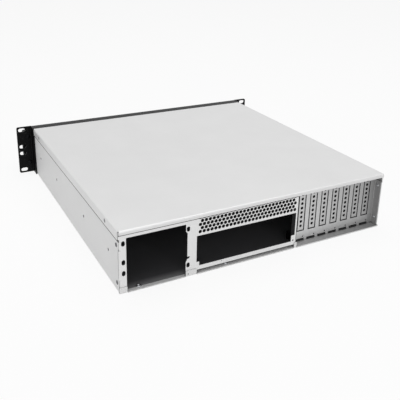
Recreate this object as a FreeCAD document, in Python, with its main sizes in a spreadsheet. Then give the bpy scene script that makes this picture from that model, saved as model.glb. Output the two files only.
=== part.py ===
import FreeCAD, Part
import math
import os
from FreeCAD import Placement, Rotation, Vector

# Empty rackmount server case, two rack units high.
# The case rests on its floor. X runs across the rack, +Y to the rear and +Z up.
# The origin is under the middle of the whole case, handles and rack ears included.

doc = FreeCAD.newDocument("rackmount_case")
sheet = doc.addObject("Spreadsheet::Sheet", "sizes")

# Driving dimensions in millimetres
SIZES = {
    # the body
    "body_width": 430.0,
    "body_height": 88.0,
    "case_depth": 450.0,
    "steel": 1.2,
    "bend_inside": 0.8,
    "lap_gap": 0.1,
    # the lid
    "lid_side_flange": 11.6,
    "lid_rear_flange": 5.4,
    "lid_corner_gap": 1.7,
    "lid_screw_setback": 47.0,
    "lid_screw_spacing": 344.0,
    "lid_screw_drop": 5.7,
    # the tray
    "floor_lip_height": 8.9,
    "floor_lip_relief": 0.8,
    "rail_hole_width": 4.2,
    "rail_hole_height": 44.0,
    "rail_hole_first": 40.0,
    "rail_hole_pitch": 104.0,
    "rail_hole_middle": 144.0,
    "clinch_nut_setback": 6.0,
    "clinch_nut_width": 4.2,
    # the rear panel
    "psu_left": 203.6,
    "psu_right": 119.2,
    "psu_top": 77.0,
    "psu_tab": 2.2,
    "psu_hook_level": 28.5,
    "oval_width": 4.8,
    "oval_length": 7.2,
    "io_left": 105.6,
    "io_width": 158.75,
    "io_height": 44.6,
    "io_base": 12.0,
    "io_bar_gap": 6.1,
    "io_column": 4.2,
    "vent_hole": 4.3,
    "vent_pitch": 5.8,
    "vent_row_pitch": 5.15,
    "vent_columns": 27.0,
    "vent_middle": 25.3,
    "vent_base": 62.3,
    "slot_recess": 12.7,
    "slot_pitch": 20.32,
    "slot_count": 7.0,
    "slot_middle": -133.8,
    "slot_width": 12.8,
    "slot_base": 17.0,
    "slot_shelf": 81.0,
    "slot_shelf_setback": 4.5,
    "slot_screw_setback": 9.0,
    "tongue_width": 15.5,
    "tongue_height": 2.0,
    "return_height": 75.0,
    # the slot covers
    "cover_width": 10.8,
    "cover_steel": 1.0,
    "cover_hole": 3.9,
    "cover_hole_pitch": 7.2,
    "cover_hole_count": 8.0,
    "cover_hole_base": 25.3,
    # the rack ears
    "ear_span": 482.6,
    "ear_steel": 2.0,
    "ear_flange": 20.0,
    "ear_corner": 3.0,
    "ear_hole_span": 465.1,
    "ear_hole_outer": 76.2,
    "ear_hole_inner": 12.7,
    "ear_slot_length": 12.0,
    "ear_slot_width": 6.8,
    # the handles
    "handle_reach": 38.0,
    "handle_height": 58.0,
    "handle_bar": 8.0,
    "handle_width": 8.5,
    "handle_offset": 222.0,
    "handle_corner": 10.0,
    "handle_chamfer": 1.2,
    # the front panel
    "front_return": 20.0,
    "grille_middle": -113.0,
    "grille_slot_width": 6.0,
    "grille_slot_length": 62.0,
    "grille_pitch": 12.0,
    "grille_columns": 14.0,
    "grille_height": 44.0,
    "fan_pitch": 90.0,
    "fan_hole_spacing": 71.5,
    "fan_hole_width": 4.4,
    # the drive bays
    "bay_middle": 115.5,
    "wide_bay_width": 146.6,
    "wide_bay_height": 41.6,
    "wide_bay_base": 33.2,
    "small_bay_width": 102.0,
    "small_bay_height": 25.6,
    "small_bay_base": 4.6,
    "cage_width": 149.4,
    "cage_height": 74.6,
    "cage_depth": 150.0,
    "cage_foot": 11.0,
    "shelf_level": 31.0,
    # the controls
    "control_middle": 8.0,
    "board_stand": 10.0,
    "stem_width": 3.0,
    "board_width": 36.0,
    "board_height": 74.0,
    "board_sheet": 1.6,
    "power_level": 68.0,
    "power_width": 12.0,
    "reset_level": 52.0,
    "reset_width": 5.0,
    "button_gap": 0.25,
    "button_proud": 1.6,
    "button_travel": 1.5,
    "lamp_level": 42.0,
    "lamp_spacing": 12.0,
    "lamp_width": 3.0,
    "port_upper": 29.0,
    "port_lower": 17.0,
    "port_width": 13.2,
    "port_height": 5.8,
    # the fasteners
    "small_screw": 3.0,
    "large_screw": 4.0,
    "thread_gap": 0.05,
    "rivet_width": 3.2,
    "rivet_setback": 8.5,
    "rivet_low": 13.3,
    "rivet_high": 66.7,
    "standoff_height": 11.3,
    "standoff_width": 5.5,
    "board_edge": 102.4,
}

for row, (alias, value) in enumerate(SIZES.items(), start=1):
    sheet.set(f"A{row}", alias)
    sheet.set(f"B{row}", str(value))
    sheet.setAlias(f"B{row}", alias)
doc.recompute()


def size(alias):
    return float(sheet.get(alias))


# Planes that several pieces share
half_body = size("body_width") / 2
top = size("body_height")
steel = size("steel")
lap = size("lap_gap")
bend = size("bend_inside")
rear = (size("case_depth") + size("handle_reach")) / 2
front = rear - size("case_depth")
wall_outside = half_body - steel - lap
wall_inside = wall_outside - steel
lid_under = top - steel - lap
wall_top = lid_under - bend
panel_face = rear - steel - lap
panel_back = panel_face - steel
floor_top = steel + lap
slot_face = panel_face - size("slot_recess")
slot_back = slot_face - steel
lid_front = front + size("ear_flange") + 3 * lap
io_right = size("io_left") - size("io_width")
jog = io_right - size("io_column")
psu_low_edge = size("psu_right") + size("psu_tab")
rivet_place = rear - size("rivet_setback")
middle_height = top / 2


# Outlines and sketches
def outline(points):
    """A closed outline. A point is (x, y), or (x, y, radius) for a corner that two flats
    round off."""
    corners = []
    for i, point in enumerate(points):
        here = Vector(point[0], point[1], 0)
        radius = point[2] if len(point) > 2 else 0.0
        if radius <= 0:
            corners.append((here, here, None))
            continue
        before = Vector(*points[i - 1][:2], 0) - here
        after = Vector(*points[(i + 1) % len(points)][:2], 0) - here
        before.normalize()
        after.normalize()
        half_angle = before.getAngle(after) / 2
        reach = radius / math.tan(half_angle)
        middle = before + after
        middle.normalize()
        crown = here + middle * (radius / math.sin(half_angle) - radius)
        corners.append((here + before * reach, here + after * reach, crown))
    curves = []
    for i, (enter, leave, crown) in enumerate(corners):
        if crown is not None:
            curves += [Part.LineSegment(enter, crown), Part.LineSegment(crown, leave)]
        following = corners[(i + 1) % len(corners)][0]
        if (following - leave).Length > 1e-6:
            curves.append(Part.LineSegment(leave, following))
    return curves


def rectangle(x_low, y_low, x_high, y_high, radius=0.0):
    points = [(x_low, y_low), (x_high, y_low), (x_high, y_high), (x_low, y_high)]
    return outline([(x, y, radius) for x, y in points])


def folded(path, thickness, inside):
    """The outline of a folded sheet. Its metal lies to the left of the path. A path point
    is (x, y), or (x, y, 0) for a pressed step with no bend radius."""
    points = [Vector(point[0], point[1], 0) for point in path]
    directions = [(b - a).normalize() for a, b in zip(points, points[1:])]
    lefts = [Vector(-d.y, d.x, 0) for d in directions]
    near = [(path[0][0], path[0][1])]
    first = points[0] + lefts[0] * thickness
    far = [(first.x, first.y)]
    for i in range(1, len(points) - 1):
        turn = directions[i - 1].cross(directions[i]).z
        shift = (lefts[i - 1] + lefts[i]) * (thickness / (1 + lefts[i - 1].dot(lefts[i])))
        far_point = points[i] + shift
        near_radius = inside + thickness if turn > 0 else inside
        far_radius = inside if turn > 0 else inside + thickness
        if len(path[i]) > 2:
            near_radius = far_radius = 0
        near.append((points[i].x, points[i].y, near_radius))
        far.append((far_point.x, far_point.y, far_radius))
    near.append((path[-1][0], path[-1][1]))
    last = points[-1] + lefts[-1] * thickness
    far.append((last.x, last.y))
    return outline(near + far[::-1])


def ring_points(radius, sides, turn=0.0):
    angles = [math.pi / sides * (2 * k + 1) + turn for k in range(sides)]
    return [(radius * math.cos(a), radius * math.sin(a)) for a in angles]


def hole(x, y, across, sides=4):
    """A small hole, drawn with flats that all touch a circle of the hole's width."""
    radius = across / 2 / math.cos(math.pi / sides)
    return outline([(x + u, y + v) for u, v in ring_points(radius, sides)])


def disc(x, y, width, sides=12):
    """The outline of a small round piece, with its corners on a circle of its width."""
    return outline([(x + u, y + v) for u, v in ring_points(width / 2, sides)])


def round_hole(x, y, width):
    """A true round hole, where something from outside fastens."""
    return [Part.Circle(Vector(x, y, 0), Vector(0, 0, 1), width / 2)]


def round_slot(x_low, x_high, y, width):
    """A level slot with true round ends."""
    half = width / 2
    corners = [Vector(x_low, y - half, 0), Vector(x_high, y - half, 0),
               Vector(x_high, y + half, 0), Vector(x_low, y + half, 0)]
    return [Part.LineSegment(corners[0], corners[1]),
            Part.Arc(corners[1], Vector(x_high + half, y, 0), corners[2]),
            Part.LineSegment(corners[2], corners[3]),
            Part.Arc(corners[3], Vector(x_low - half, y, 0), corners[0])]


def oblong(start, end, width, steps=2):
    """A slot between the centres of its two ends, each end drawn with a few flats."""
    a = Vector(start[0], start[1], 0)
    b = Vector(end[0], end[1], 0)
    along = (b - a).normalize()
    points = []
    for centre, direction in ((b, along), (a, -along)):
        side = Vector(direction.y, -direction.x, 0)
        for k in range(steps + 1):
            angle = math.pi * k / steps
            point = centre + (side * math.cos(angle) + direction * math.sin(angle)) * (width / 2)
            points.append((point.x, point.y))
    return outline(points)


def new_body(name):
    body = doc.addObject("PartDesign::Body", name)
    body.Label = name
    return body


def draw(body, name, role, curves, offset=0.0):
    """A sketch on one of the body's own planes, lifted along that plane's normal."""
    plane = [f for f in body.Origin.OriginFeatures if f.Role == role + "_Plane"][0]
    sketch = body.newObject("Sketcher::SketchObject", name)
    sketch.AttachmentSupport = [(plane, "")]
    sketch.MapMode = "FlatFace"
    sketch.AttachmentOffset = Placement(Vector(0, 0, offset), Rotation())
    for curve in curves:
        sketch.addGeometry(curve)
    return sketch


def pad(body, name, role, curves, low, high, expression=None):
    """Pads an outline between two levels across its plane."""
    offset = -high if role == "XZ" else low
    feature = body.newObject("PartDesign::Pad", name)
    feature.Profile = draw(body, name + "_sketch", role, curves, offset)
    feature.Length = high - low
    if expression:
        feature.setExpression("Length", expression)
    body.Tip = feature
    return feature


def cut(body, name, role, curves, low=None, high=None):
    """Cuts an outline between two levels across its plane, or right through."""
    offset = 0.0 if low is None else -low if role == "XZ" else high
    feature = body.newObject("PartDesign::Pocket", name)
    feature.Profile = draw(body, name + "_sketch", role, curves, offset)
    if low is None:
        feature.Type = "ThroughAll"
        feature.SideType = "Symmetric"
    else:
        feature.Length = high - low
    body.Tip = feature
    return feature


def repeat(body, name, feature, step, count, second=None):
    """Repeats a cut along its sketch's first axis, and along the second if given."""
    sketch = feature.Profile[0]
    pattern = body.newObject("PartDesign::LinearPattern", name)
    pattern.Originals = [feature]
    pattern.Direction = (sketch, ["H_Axis"])
    pattern.Length = step * (count - 1)
    pattern.Occurrences = int(count)
    if second:
        pattern.Direction2 = (sketch, ["V_Axis"])
        pattern.Length2 = second[0] * (second[1] - 1)
        pattern.Occurrences2 = int(second[1])
    body.Tip = pattern
    return pattern


def dress(body, kind, name, base, chosen, amount):
    """A fillet or a chamfer on the edges of a feature that pass a test."""
    doc.recompute()
    names = [f"Edge{i}" for i, edge in enumerate(base.Shape.Edges, start=1) if chosen(edge)]
    feature = body.newObject("PartDesign::" + kind, name)
    feature.Base = (base, names)
    setattr(feature, "Radius" if kind == "Fillet" else "Size", amount)
    body.Tip = feature
    return feature


def same(a, b):
    return abs(a - b) < 1e-4


def rims(places, width):
    """A test for the edges round a hole's mouth, at any of the places."""
    def is_rim(edge):
        ends = [vertex.Point for vertex in edge.Vertexes]
        return any(all((end - Vector(*place)).Length < width * 0.62 for end in ends)
                   for place in places)
    return is_rim


def turned(profile, base, axis, sides=6):
    """A turned piece drawn with flats. The profile is (radius, distance along the axis)
    and starts and ends on the axis."""
    rings = [[Vector(u, v, along) for u, v in ring_points(radius, sides)]
             for radius, along in profile]
    faces = []
    for i in range(len(profile) - 1):
        (near_radius, near_level), (far_radius, far_level) = profile[i:i + 2]
        near, far = rings[i:i + 2]
        if near_radius == 0 or far_radius == 0:
            cap = far if near_radius == 0 else near
            faces.append(Part.Face(Part.makePolygon(cap + cap[:1])))
        elif near_level == far_level:
            outer, inner = (near, far) if near_radius > far_radius else (far, near)
            wires = [Part.makePolygon(ring + ring[:1]) for ring in (outer, inner)]
            faces.append(Part.Face(wires[0]).cut(Part.Face(wires[1])).Faces[0])
        else:
            for k in range(sides):
                following = (k + 1) % sides
                corners = [near[k], near[following], far[following], far[k], near[k]]
                faces.append(Part.Face(Part.makePolygon(corners)))
    shell = Part.makeShell(faces)
    shell.sewShape()
    solid = Part.Solid(shell)
    if solid.Volume < 0:
        solid.reverse()
    solid.Placement = Placement(Vector(*base), Rotation(Vector(0, 0, 1), Vector(*axis)))
    return solid


def prism(curves, low, high, base=(0, 0, 0), axis=(0, 0, 1)):
    """An outline drawn out along an axis between two distances from the base."""
    face = Part.Face(Part.Wire([curve.toShape() for curve in curves]))
    solid = face.extrude(Vector(0, 0, high - low))
    turn = Rotation(Vector(0, 0, 1), Vector(*axis))
    solid.Placement = Placement(Vector(*base), turn).multiply(
        Placement(Vector(0, 0, low), Rotation()))
    return solid


def group(name, solids):
    """A node of like pieces, made directly from the sheet's sizes."""
    part = doc.addObject("Part::Feature", name)
    part.Label = name
    part.Shape = Part.makeCompound(solids)
    part.Placement = Placement()
    return part


# Screws and rivets
def pan_screw(width, length, base, axis):
    """A pan-head screw. The base is under its head."""
    head = width * 0.93
    height = width * 0.6
    return turned(
        [(0, -height), (head, -height), (head, 0), (width / 2, 0), (width / 2, length),
         (0, length)],
        base, axis)


def flat_screw(width, length, base, axis):
    """A countersunk screw. The base is on its flat head."""
    sink = width * sink_ratio
    return turned(
        [(0, 0), (width / 2 + sink, 0), (width / 2, sink), (width / 2, length), (0, length)],
        base, axis)


def rivet(width, grip, base, axis):
    """A flat-headed rivet with a set tail. The base is on the sheet's outside."""
    head = width * 0.9
    tail = width * 0.7
    return turned(
        [(0, -0.5), (head, -0.5), (head, 0), (width / 2, 0), (width / 2, grip),
         (tail, grip), (tail, grip + 1.0), (0, grip + 1.0)],
        base, axis)


def with_gap(width):
    return width + 2 * size("thread_gap")


# Places that several pieces and their fasteners share
sink_ratio = 0.36
rail_holes = [rear - size("rail_hole_first")]
for step in (size("rail_hole_pitch"), size("rail_hole_middle"), size("rail_hole_pitch")):
    rail_holes.append(rail_holes[-1] - step)
lid_screw_level = top - size("lid_screw_drop")
lid_screw_rear = rear - size("lid_screw_setback")
lid_screw_places = [lid_screw_rear, lid_screw_rear - size("lid_screw_spacing")]
ear_screw_place = front + size("ear_flange") * 0.6
ear_screw_levels = [middle_height - 24.0, middle_height + 24.0]
clinch_places = [(x, rear - size("clinch_nut_setback")) for x in (186.0, 58.4)]
rivet_levels = [size("rivet_low"), size("rivet_high")]
lips = [(size("psu_left"), wall_outside), (size("io_left"), psu_low_edge), (jog, io_right)]
slots = [size("slot_middle") + (k - (size("slot_count") - 1) / 2) * size("slot_pitch")
         for k in range(int(size("slot_count")))]
shelf_top = size("slot_shelf") + steel
slot_screw_place = rear - size("slot_screw_setback")

# The motherboard's nine standoffs, in the usual three columns and three rows
board_rear = slot_back - 1.5
standoffs = [(size("board_edge") - 6.35 - x, board_rear - 10.16 - y)
             for x in (0.0, 157.48, 281.94) for y in (0.0, 154.94, 227.33)]

cage_left = size("bay_middle") + size("cage_width") / 2
cage_right = size("bay_middle") - size("cage_width") / 2
cage_front = front + size("front_return") + 4 * lap
cage_foot_middle = steel + size("cage_foot") / 2 + 1.0
cage_feet = [(x, cage_front + y)
             for x in (cage_left + cage_foot_middle, cage_right - cage_foot_middle)
             for y in (34.0, size("cage_depth") - 15.0)]
bracket_foot = [(size("control_middle") + x, front + 30.0) for x in (-8.0, 8.0)]
front_screw_places = [(x, front + size("front_return") * 0.55)
                      for x in (-200.0, -60.0, 60.0, 200.0)]
board_face = front + steel + size("board_stand")
board_back = board_face + size("board_sheet")
board_screw_places = [(size("control_middle") + x, middle_height + z)
                      for x in (-14.5, 14.5) for z in (-33.0, 33.0)]
handle_legs = [middle_height + side * (size("handle_height") - size("handle_bar")) / 2
               for side in (-1, 1)]
lamps = [size("control_middle") + side * size("lamp_spacing") / 2 for side in (-1, 1)]
ports = [size("port_upper"), size("port_lower")]


# The tray: floor and both side walls, folded from one sheet
def make_chassis_tray():
    body = new_body("chassis_tray")
    start = front + steel + bend + lap
    path = [(-wall_outside, wall_top), (-wall_outside, 0), (wall_outside, 0),
            (wall_outside, wall_top)]
    pad(body, "tray_fold", "XZ", folded(path, steel, bend), start, rear,
        "sizes.case_depth - sizes.steel - sizes.bend_inside - sizes.lap_gap")
    cut(body, "wall_trim", "YZ",
        rectangle(panel_back - lap, bend + steel, rear + 1, top + 1))
    relief = size("floor_lip_relief")
    for i, (low, high) in enumerate(lips, start=1):
        reach = half_body if same(high, wall_outside) else high + relief
        cut(body, f"lip_notch_{i}", "XY", rectangle(low - relief, rear - 4, reach, rear + 1))
        lip_path = [(rear - 4.5, 0), (rear, 0), (rear, size("floor_lip_height"))]
        pad(body, f"floor_lip_{i}", "YZ", folded(lip_path, steel, bend), low, high)
    holes = [round_hole(y, size("rail_hole_height"), size("rail_hole_width"))
             for y in rail_holes]
    holes += [hole(y, lid_screw_level, with_gap(size("small_screw")))
              for y in lid_screw_places]
    holes += [hole(ear_screw_place, z, with_gap(size("large_screw")))
              for z in ear_screw_levels]
    holes += [hole(rivet_place, z, with_gap(size("rivet_width"))) for z in rivet_levels]
    cut(body, "wall_holes", "YZ", sum(holes, []))
    holes = [hole(x, y, with_gap(size("clinch_nut_width"))) for x, y in clinch_places]
    holes += [hole(x, y, with_gap(size("small_screw")))
              for x, y in standoffs + cage_feet + bracket_foot]
    cut(body, "floor_holes", "XY", sum(holes, []))
    screw_hole = with_gap(size("small_screw"))
    holes = [hole(x, y, screw_hole, 6) for x, y in front_screw_places]
    front_holes = cut(body, "front_screw_holes", "XY", sum(holes, []))
    dress(body, "Chamfer", "front_screw_sinks", front_holes,
          rims([(x, y, 0) for x, y in front_screw_places], screw_hole),
          size("small_screw") * sink_ratio)
    cut(body, "lip_hole", "XZ", hole(psu_low_edge - 3.2, 4.0, 1.6), rear - 2, rear + 1)
    return body


# The rear panel: one folded sheet that steps forward at the expansion slots
def make_rear_panel():
    body = new_body("rear_panel")
    return_face = wall_inside - lap - steel
    path = [(wall_outside, panel_face), (jog, panel_face), (jog, slot_face),
            (-return_face, slot_face), (-return_face, panel_back - lap)]
    pad(body, "panel_fold", "XY", folded(path, steel, bend), floor_top, wall_top,
        "sizes.body_height - 2 * sizes.steel - 2 * sizes.lap_gap - sizes.bend_inside")
    # its lower edge clears the bends of the tray's lips and walls
    clear_level = floor_top + bend + lap
    edge = rectangle(jog - bend, 0, half_body, clear_level)
    edge += rectangle(-half_body, 0, 2 * lap + bend - wall_inside, clear_level)
    cut(body, "lower_edge", "XZ", edge)
    # the slot wall gives way to a shelf that carries the slot covers
    cut(body, "slot_wall_top", "XZ",
        rectangle(-half_body, size("slot_shelf") - bend, jog - bend, top))
    cut(body, "return_top", "YZ",
        rectangle(slot_face + bend, size("return_height"), rear, top), -half_body, -200)
    relief = size("floor_lip_relief")
    shelf_path = [(rear - size("slot_shelf_setback"), shelf_top), (slot_back, shelf_top),
                  (slot_back, size("slot_shelf") - 2.5)]
    pad(body, "slot_shelf", "YZ", folded(shelf_path, steel, bend),
        bend + relief - return_face, jog - bend - relief)
    shelf_holes = [hole(x, slot_screw_place, with_gap(size("small_screw"))) for x in slots]
    cut(body, "shelf_holes", "XY", sum(shelf_holes, []), size("slot_shelf") - 1, top)
    half_slot = size("slot_width") / 2
    half_tongue = size("tongue_width") / 2
    slot = rectangle(slots[0] - half_slot, size("slot_base"), slots[0] + half_slot,
                     size("slot_shelf") - 3.0)
    slot += rectangle(slots[0] - half_tongue, 0, slots[0] + half_tongue,
                      floor_top + size("tongue_height"))
    slot += hole(slots[0] - half_slot + 1.0, 7.0, 2.0)
    first_slot = cut(body, "first_slot", "XZ", slot)
    repeat(body, "slot_row", first_slot, size("slot_pitch"), size("slot_count"))
    # the power supply's opening, with rounded ears and a hook at its inner edge
    hook = size("psu_hook_level")
    psu = outline([
        (size("psu_left"), 0),
        (size("psu_left"), size("psu_top"), 1.0),
        (psu_low_edge, size("psu_top")),
        (psu_low_edge, size("psu_top") - 10.5, 1.2),
        (size("psu_right"), size("psu_top") - 12.5, 1.2),
        (size("psu_right"), hook - 2.0, 1.5),
        (psu_low_edge, hook - 7.5, 4.0),
        (psu_low_edge, 0)])
    cut(body, "psu_opening", "XZ", psu)
    cut(body, "psu_hook", "XZ",
        oblong((size("psu_right") - 2.4, hook), (psu_low_edge + 1, hook - 1.8), 3.0))
    half_oval = (size("oval_length") - size("oval_width")) / 2
    left_column = size("psu_left") + 4.0
    right_column = size("psu_right") - 1.2
    ovals = []
    for x, z in ((left_column, 70.0), (left_column, 43.6), (left_column, 28.2),
                 (right_column, 69.8), (right_column, 16.9)):
        ovals += oblong((x, z - half_oval), (x, z + half_oval), size("oval_width"))
    cut(body, "psu_ovals", "XZ", ovals)
    # the input and output aperture, the bar under it and the gap under that
    base = size("io_base")
    aperture = outline([
        (size("io_left") - 4.2, base),
        (io_right + 5.8, base),
        (io_right + 5.8, base + 9.4, 0.8),
        (io_right, base + 9.4),
        (io_right, base + size("io_height")),
        (size("io_left"), base + size("io_height")),
        (size("io_left"), base + 6.0),
        (size("io_left") - 4.2, base + 6.0, 0.8)])
    aperture += rectangle(io_right, 0, size("io_left"), size("io_bar_gap"))
    aperture += hole(io_right + 2.4, base + 1.4, 2.0)
    aperture += hole(io_right + 120.0, base - 1.7, 1.2)
    cut(body, "io_aperture", "XZ", aperture)
    # the vent: staggered rows of small holes
    step = size("vent_pitch")
    row = size("vent_row_pitch")
    start = size("vent_middle") - step * (size("vent_columns") - 1) / 2
    wide_rows = cut(body, "vent_hole_1", "XZ",
                    hole(start, size("vent_base"), size("vent_hole"), 6))
    repeat(body, "vent_rows_1", wide_rows, step, size("vent_columns"), (2 * row, 3))
    short_rows = cut(body, "vent_hole_2", "XZ",
                     hole(start + step / 2, size("vent_base") + row, size("vent_hole"), 6))
    repeat(body, "vent_rows_2", short_rows, step, size("vent_columns") - 1, (2 * row, 2))
    # two lanced tabs lie against the left wall, the return against the right one
    tab_face = wall_inside - lap
    half_tab = 6.2
    tab_path = [(tab_face, panel_face - 15.0), (tab_face, panel_face),
                (tab_face - 4.0, panel_face)]
    for i, z in enumerate(rivet_levels, start=1):
        cut(body, f"tab_notch_{i}", "XZ",
            rectangle(tab_face - bend - steel, z - half_tab - lap,
                      half_body, z + half_tab + lap))
        pad(body, f"side_tab_{i}", "XY", folded(tab_path, steel, bend),
            z - half_tab, z + half_tab)
    holes = sum([hole(rivet_place, z, with_gap(size("rivet_width"))) for z in rivet_levels], [])
    cut(body, "left_rivet_holes", "YZ", holes, 200, half_body)
    cut(body, "right_rivet_holes", "YZ", holes, -half_body, -200)
    return body


# A slot cover: a perforated strip that steps out into its slot, level with the wall,
# and back in below it. Its top is bent over the shelf and screwed down.
def make_slot_cover(number, x):
    body = new_body(f"slot_cover_{number}")
    thick = size("cover_steel")
    half = size("cover_width") / 2
    tab_top = shelf_top + lap + thick
    inner = slot_back - lap - thick
    outer = slot_face - lap - thick
    step = outer - inner
    step_top = size("slot_shelf") - 4.2
    step_base = size("slot_base") + 0.7
    path = [(rear - size("slot_shelf_setback") - 0.5, tab_top), (inner, tab_top),
            (inner, step_top, 0), (outer, step_top - step, 0), (outer, step_base + step, 0),
            (inner, step_base, 0), (inner, floor_top + size("tongue_height") + lap)]
    pad(body, "cover_fold", "YZ", folded(path, thick, bend), x - half, x + half,
        "sizes.cover_width")
    cut(body, "screw_hole", "XY",
        hole(x, slot_screw_place, with_gap(size("small_screw"))), shelf_top, top)
    first = cut(body, "first_hole", "XZ",
                hole(x, size("cover_hole_base"), size("cover_hole"), 6), inner - 1, slot_face)
    column = body.newObject("PartDesign::LinearPattern", "hole_column")
    column.Originals = [first]
    column.Direction = (first.Profile[0], ["V_Axis"])
    column.Length = size("cover_hole_pitch") * (size("cover_hole_count") - 1)
    column.Occurrences = int(size("cover_hole_count"))
    body.Tip = column
    return body


# The lid: a sheet with its sides and its rear edge folded down
def make_top_cover():
    body = new_body("top_cover")
    low = top - size("lid_side_flange")
    path = [(half_body, low), (half_body, top), (-half_body, top), (-half_body, low)]
    fold_zone = steel + bend
    pad(body, "lid_fold", "XZ", folded(path, steel, bend), lid_front, rear - fold_zone - lap)
    for side in (-1, 1):
        edges = sorted((side * (half_body - fold_zone), side * (half_body + 1)))
        corner = rectangle(edges[0], rear - steel - size("lid_corner_gap"), edges[1], rear)
        cut(body, "lid_corner_left" if side > 0 else "lid_corner_right", "XY", corner)
    flange_path = [(rear, top - size("lid_rear_flange")), (rear, top),
                   (rear - fold_zone - 3 * lap, top)]
    pad(body, "rear_flange", "YZ", folded(flange_path, steel, bend),
        -half_body + fold_zone + lap, half_body - fold_zone - lap)
    screw_hole = with_gap(size("small_screw"))
    holes = sum([hole(y, lid_screw_level, screw_hole, 6) for y in lid_screw_places], [])
    drilled = cut(body, "lid_screw_holes", "YZ", holes)
    mouths = [(side * half_body, y, lid_screw_level)
              for side in (-1, 1) for y in lid_screw_places]
    dress(body, "Chamfer", "lid_screw_sinks", drilled, rims(mouths, screw_hole),
          size("small_screw") * sink_ratio)
    return body


# The front panel: a black sheet, folded back at its top and at its bottom
def make_front_panel():
    body = new_body("front_panel")
    half = wall_outside - lap
    back = front + size("front_return")
    path = [(back, top), (front, top), (front, floor_top), (back, floor_top)]
    pad(body, "front_fold", "YZ", folded(path, steel, bend), -half, half)
    inner = wall_inside - bend - 3 * lap
    sides = rectangle(inner, front + steel, half + 1, back + 1)
    sides += rectangle(-half - 1, front + steel, -inner, back + 1)
    cut(body, "return_sides", "XY", sides, 0, floor_top + steel + bend)
    # a grille of upright slots before the two fan places
    step = size("grille_pitch")
    columns = size("grille_columns")
    x = size("grille_middle") - step * (columns - 1) / 2
    reach = (size("grille_slot_length") - size("grille_slot_width")) / 2
    z = size("grille_height")
    slot = cut(body, "first_grille_slot", "XZ",
               oblong((x, z - reach), (x, z + reach), size("grille_slot_width")))
    repeat(body, "grille", slot, step, columns)
    holes = []
    for fan_middle in (-0.5, 0.5):
        for across in (-0.5, 0.5):
            for up in (-0.5, 0.5):
                holes += round_hole(
                    size("grille_middle") + fan_middle * size("fan_pitch")
                    + across * size("fan_hole_spacing"),
                    size("grille_height") + up * size("fan_hole_spacing"),
                    size("fan_hole_width"))
    cut(body, "fan_holes", "XZ", holes)
    # the two drive bays
    bays = []
    for width, height, base in bay_sizes:
        bays += rectangle(size("bay_middle") - width / 2, base,
                          size("bay_middle") + width / 2, base + height, 0.8)
    cut(body, "drive_bays", "XZ", bays)
    # buttons, lamps and ports
    middle = size("control_middle")
    gap = size("button_gap")
    holes = hole(middle, size("power_level"), size("power_width") + 2 * gap, 16)
    holes += hole(middle, size("reset_level"), size("reset_width") + 2 * gap, 12)
    for x in lamps:
        holes += hole(x, size("lamp_level"), size("lamp_width") + gap, 8)
    for z in ports:
        half_port = size("port_width") / 2 + gap
        half_height = size("port_height") / 2 + gap
        holes += rectangle(middle - half_port, z - half_height,
                           middle + half_port, z + half_height)
    cut(body, "control_holes", "XZ", holes)
    holes = [hole(x, y, with_gap(size("small_screw"))) for x, y in front_screw_places]
    cut(body, "front_screw_holes", "XY", sum(holes, []), 0, floor_top + steel + 1)
    return body


# A rack ear: an angle whose plate carries the rack slots and the handle
def make_rack_ear(name, side):
    body = new_body(name)
    thick = size("ear_steel")
    inside = wall_outside + lap
    path = [(inside, front + size("ear_flange")), (inside, front),
            (size("ear_span") / 2, front)]
    curves = folded(path, thick, bend)
    if side < 0:
        mirrored = [(-x, y) for x, y in reversed(path)]
        curves = folded(mirrored, thick, bend)
    angle = pad(body, "ear_angle", "XY", curves, 0, top, "sizes.body_height")

    def is_outer_corner(edge):
        ends = [vertex.Point for vertex in edge.Vertexes]
        return len(ends) == 2 and same(ends[0].z, ends[1].z) and all(
            same(abs(end.x), size("ear_span") / 2) for end in ends)
    dress(body, "Fillet", "ear_corners", angle, is_outer_corner, size("ear_corner"))
    x = side * size("ear_hole_span") / 2
    reach = (size("ear_slot_length") - size("ear_slot_width")) / 2
    slots_and_holes = []
    for spacing in (size("ear_hole_outer"), size("ear_hole_inner")):
        for up in (-0.5, 0.5):
            z = middle_height + up * spacing
            slots_and_holes += round_slot(x - reach, x + reach, z, size("ear_slot_width"))
    for z in handle_legs:
        slots_and_holes += hole(side * size("handle_offset"), z,
                                  with_gap(size("large_screw")))
    cut(body, "ear_slots", "XZ", slots_and_holes)
    screw_hole = with_gap(size("large_screw"))
    holes = sum([hole(ear_screw_place, z, screw_hole, 6) for z in ear_screw_levels], [])
    drilled = cut(body, "ear_screw_holes", "YZ", holes)
    mouths = [(side * (inside + thick), ear_screw_place, z) for z in ear_screw_levels]
    dress(body, "Chamfer", "ear_screw_sinks", drilled, rims(mouths, screw_hole),
          size("large_screw") * sink_ratio)
    return body


# A handle: a thick bar bent to a bow, screwed to the ear from behind
def make_handle(name, side):
    body = new_body(name)
    half = size("handle_height") / 2
    foot = front - lap
    outer = front - size("handle_reach")
    path = [(foot, middle_height + half), (outer, middle_height + half),
            (outer, middle_height - half), (foot, middle_height - half)]
    x = side * size("handle_offset")
    bar = size("handle_bar")
    bow = pad(body, "handle_bow", "YZ", folded(path, bar, size("handle_corner") - bar),
              x - size("handle_width") / 2, x + size("handle_width") / 2,
              "sizes.handle_width")

    def is_long_edge(edge):
        box = edge.BoundBox
        return box.XLength < 1e-4 and not (box.YLength < 1e-4 and same(box.YMin, foot))
    dress(body, "Chamfer", "handle_edges", bow, is_long_edge, size("handle_chamfer"))
    holes = sum([hole(x, z, with_gap(size("large_screw"))) for z in handle_legs], [])
    cut(body, "handle_threads", "XZ", holes, foot - 9.5, foot + 1)
    return body


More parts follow.
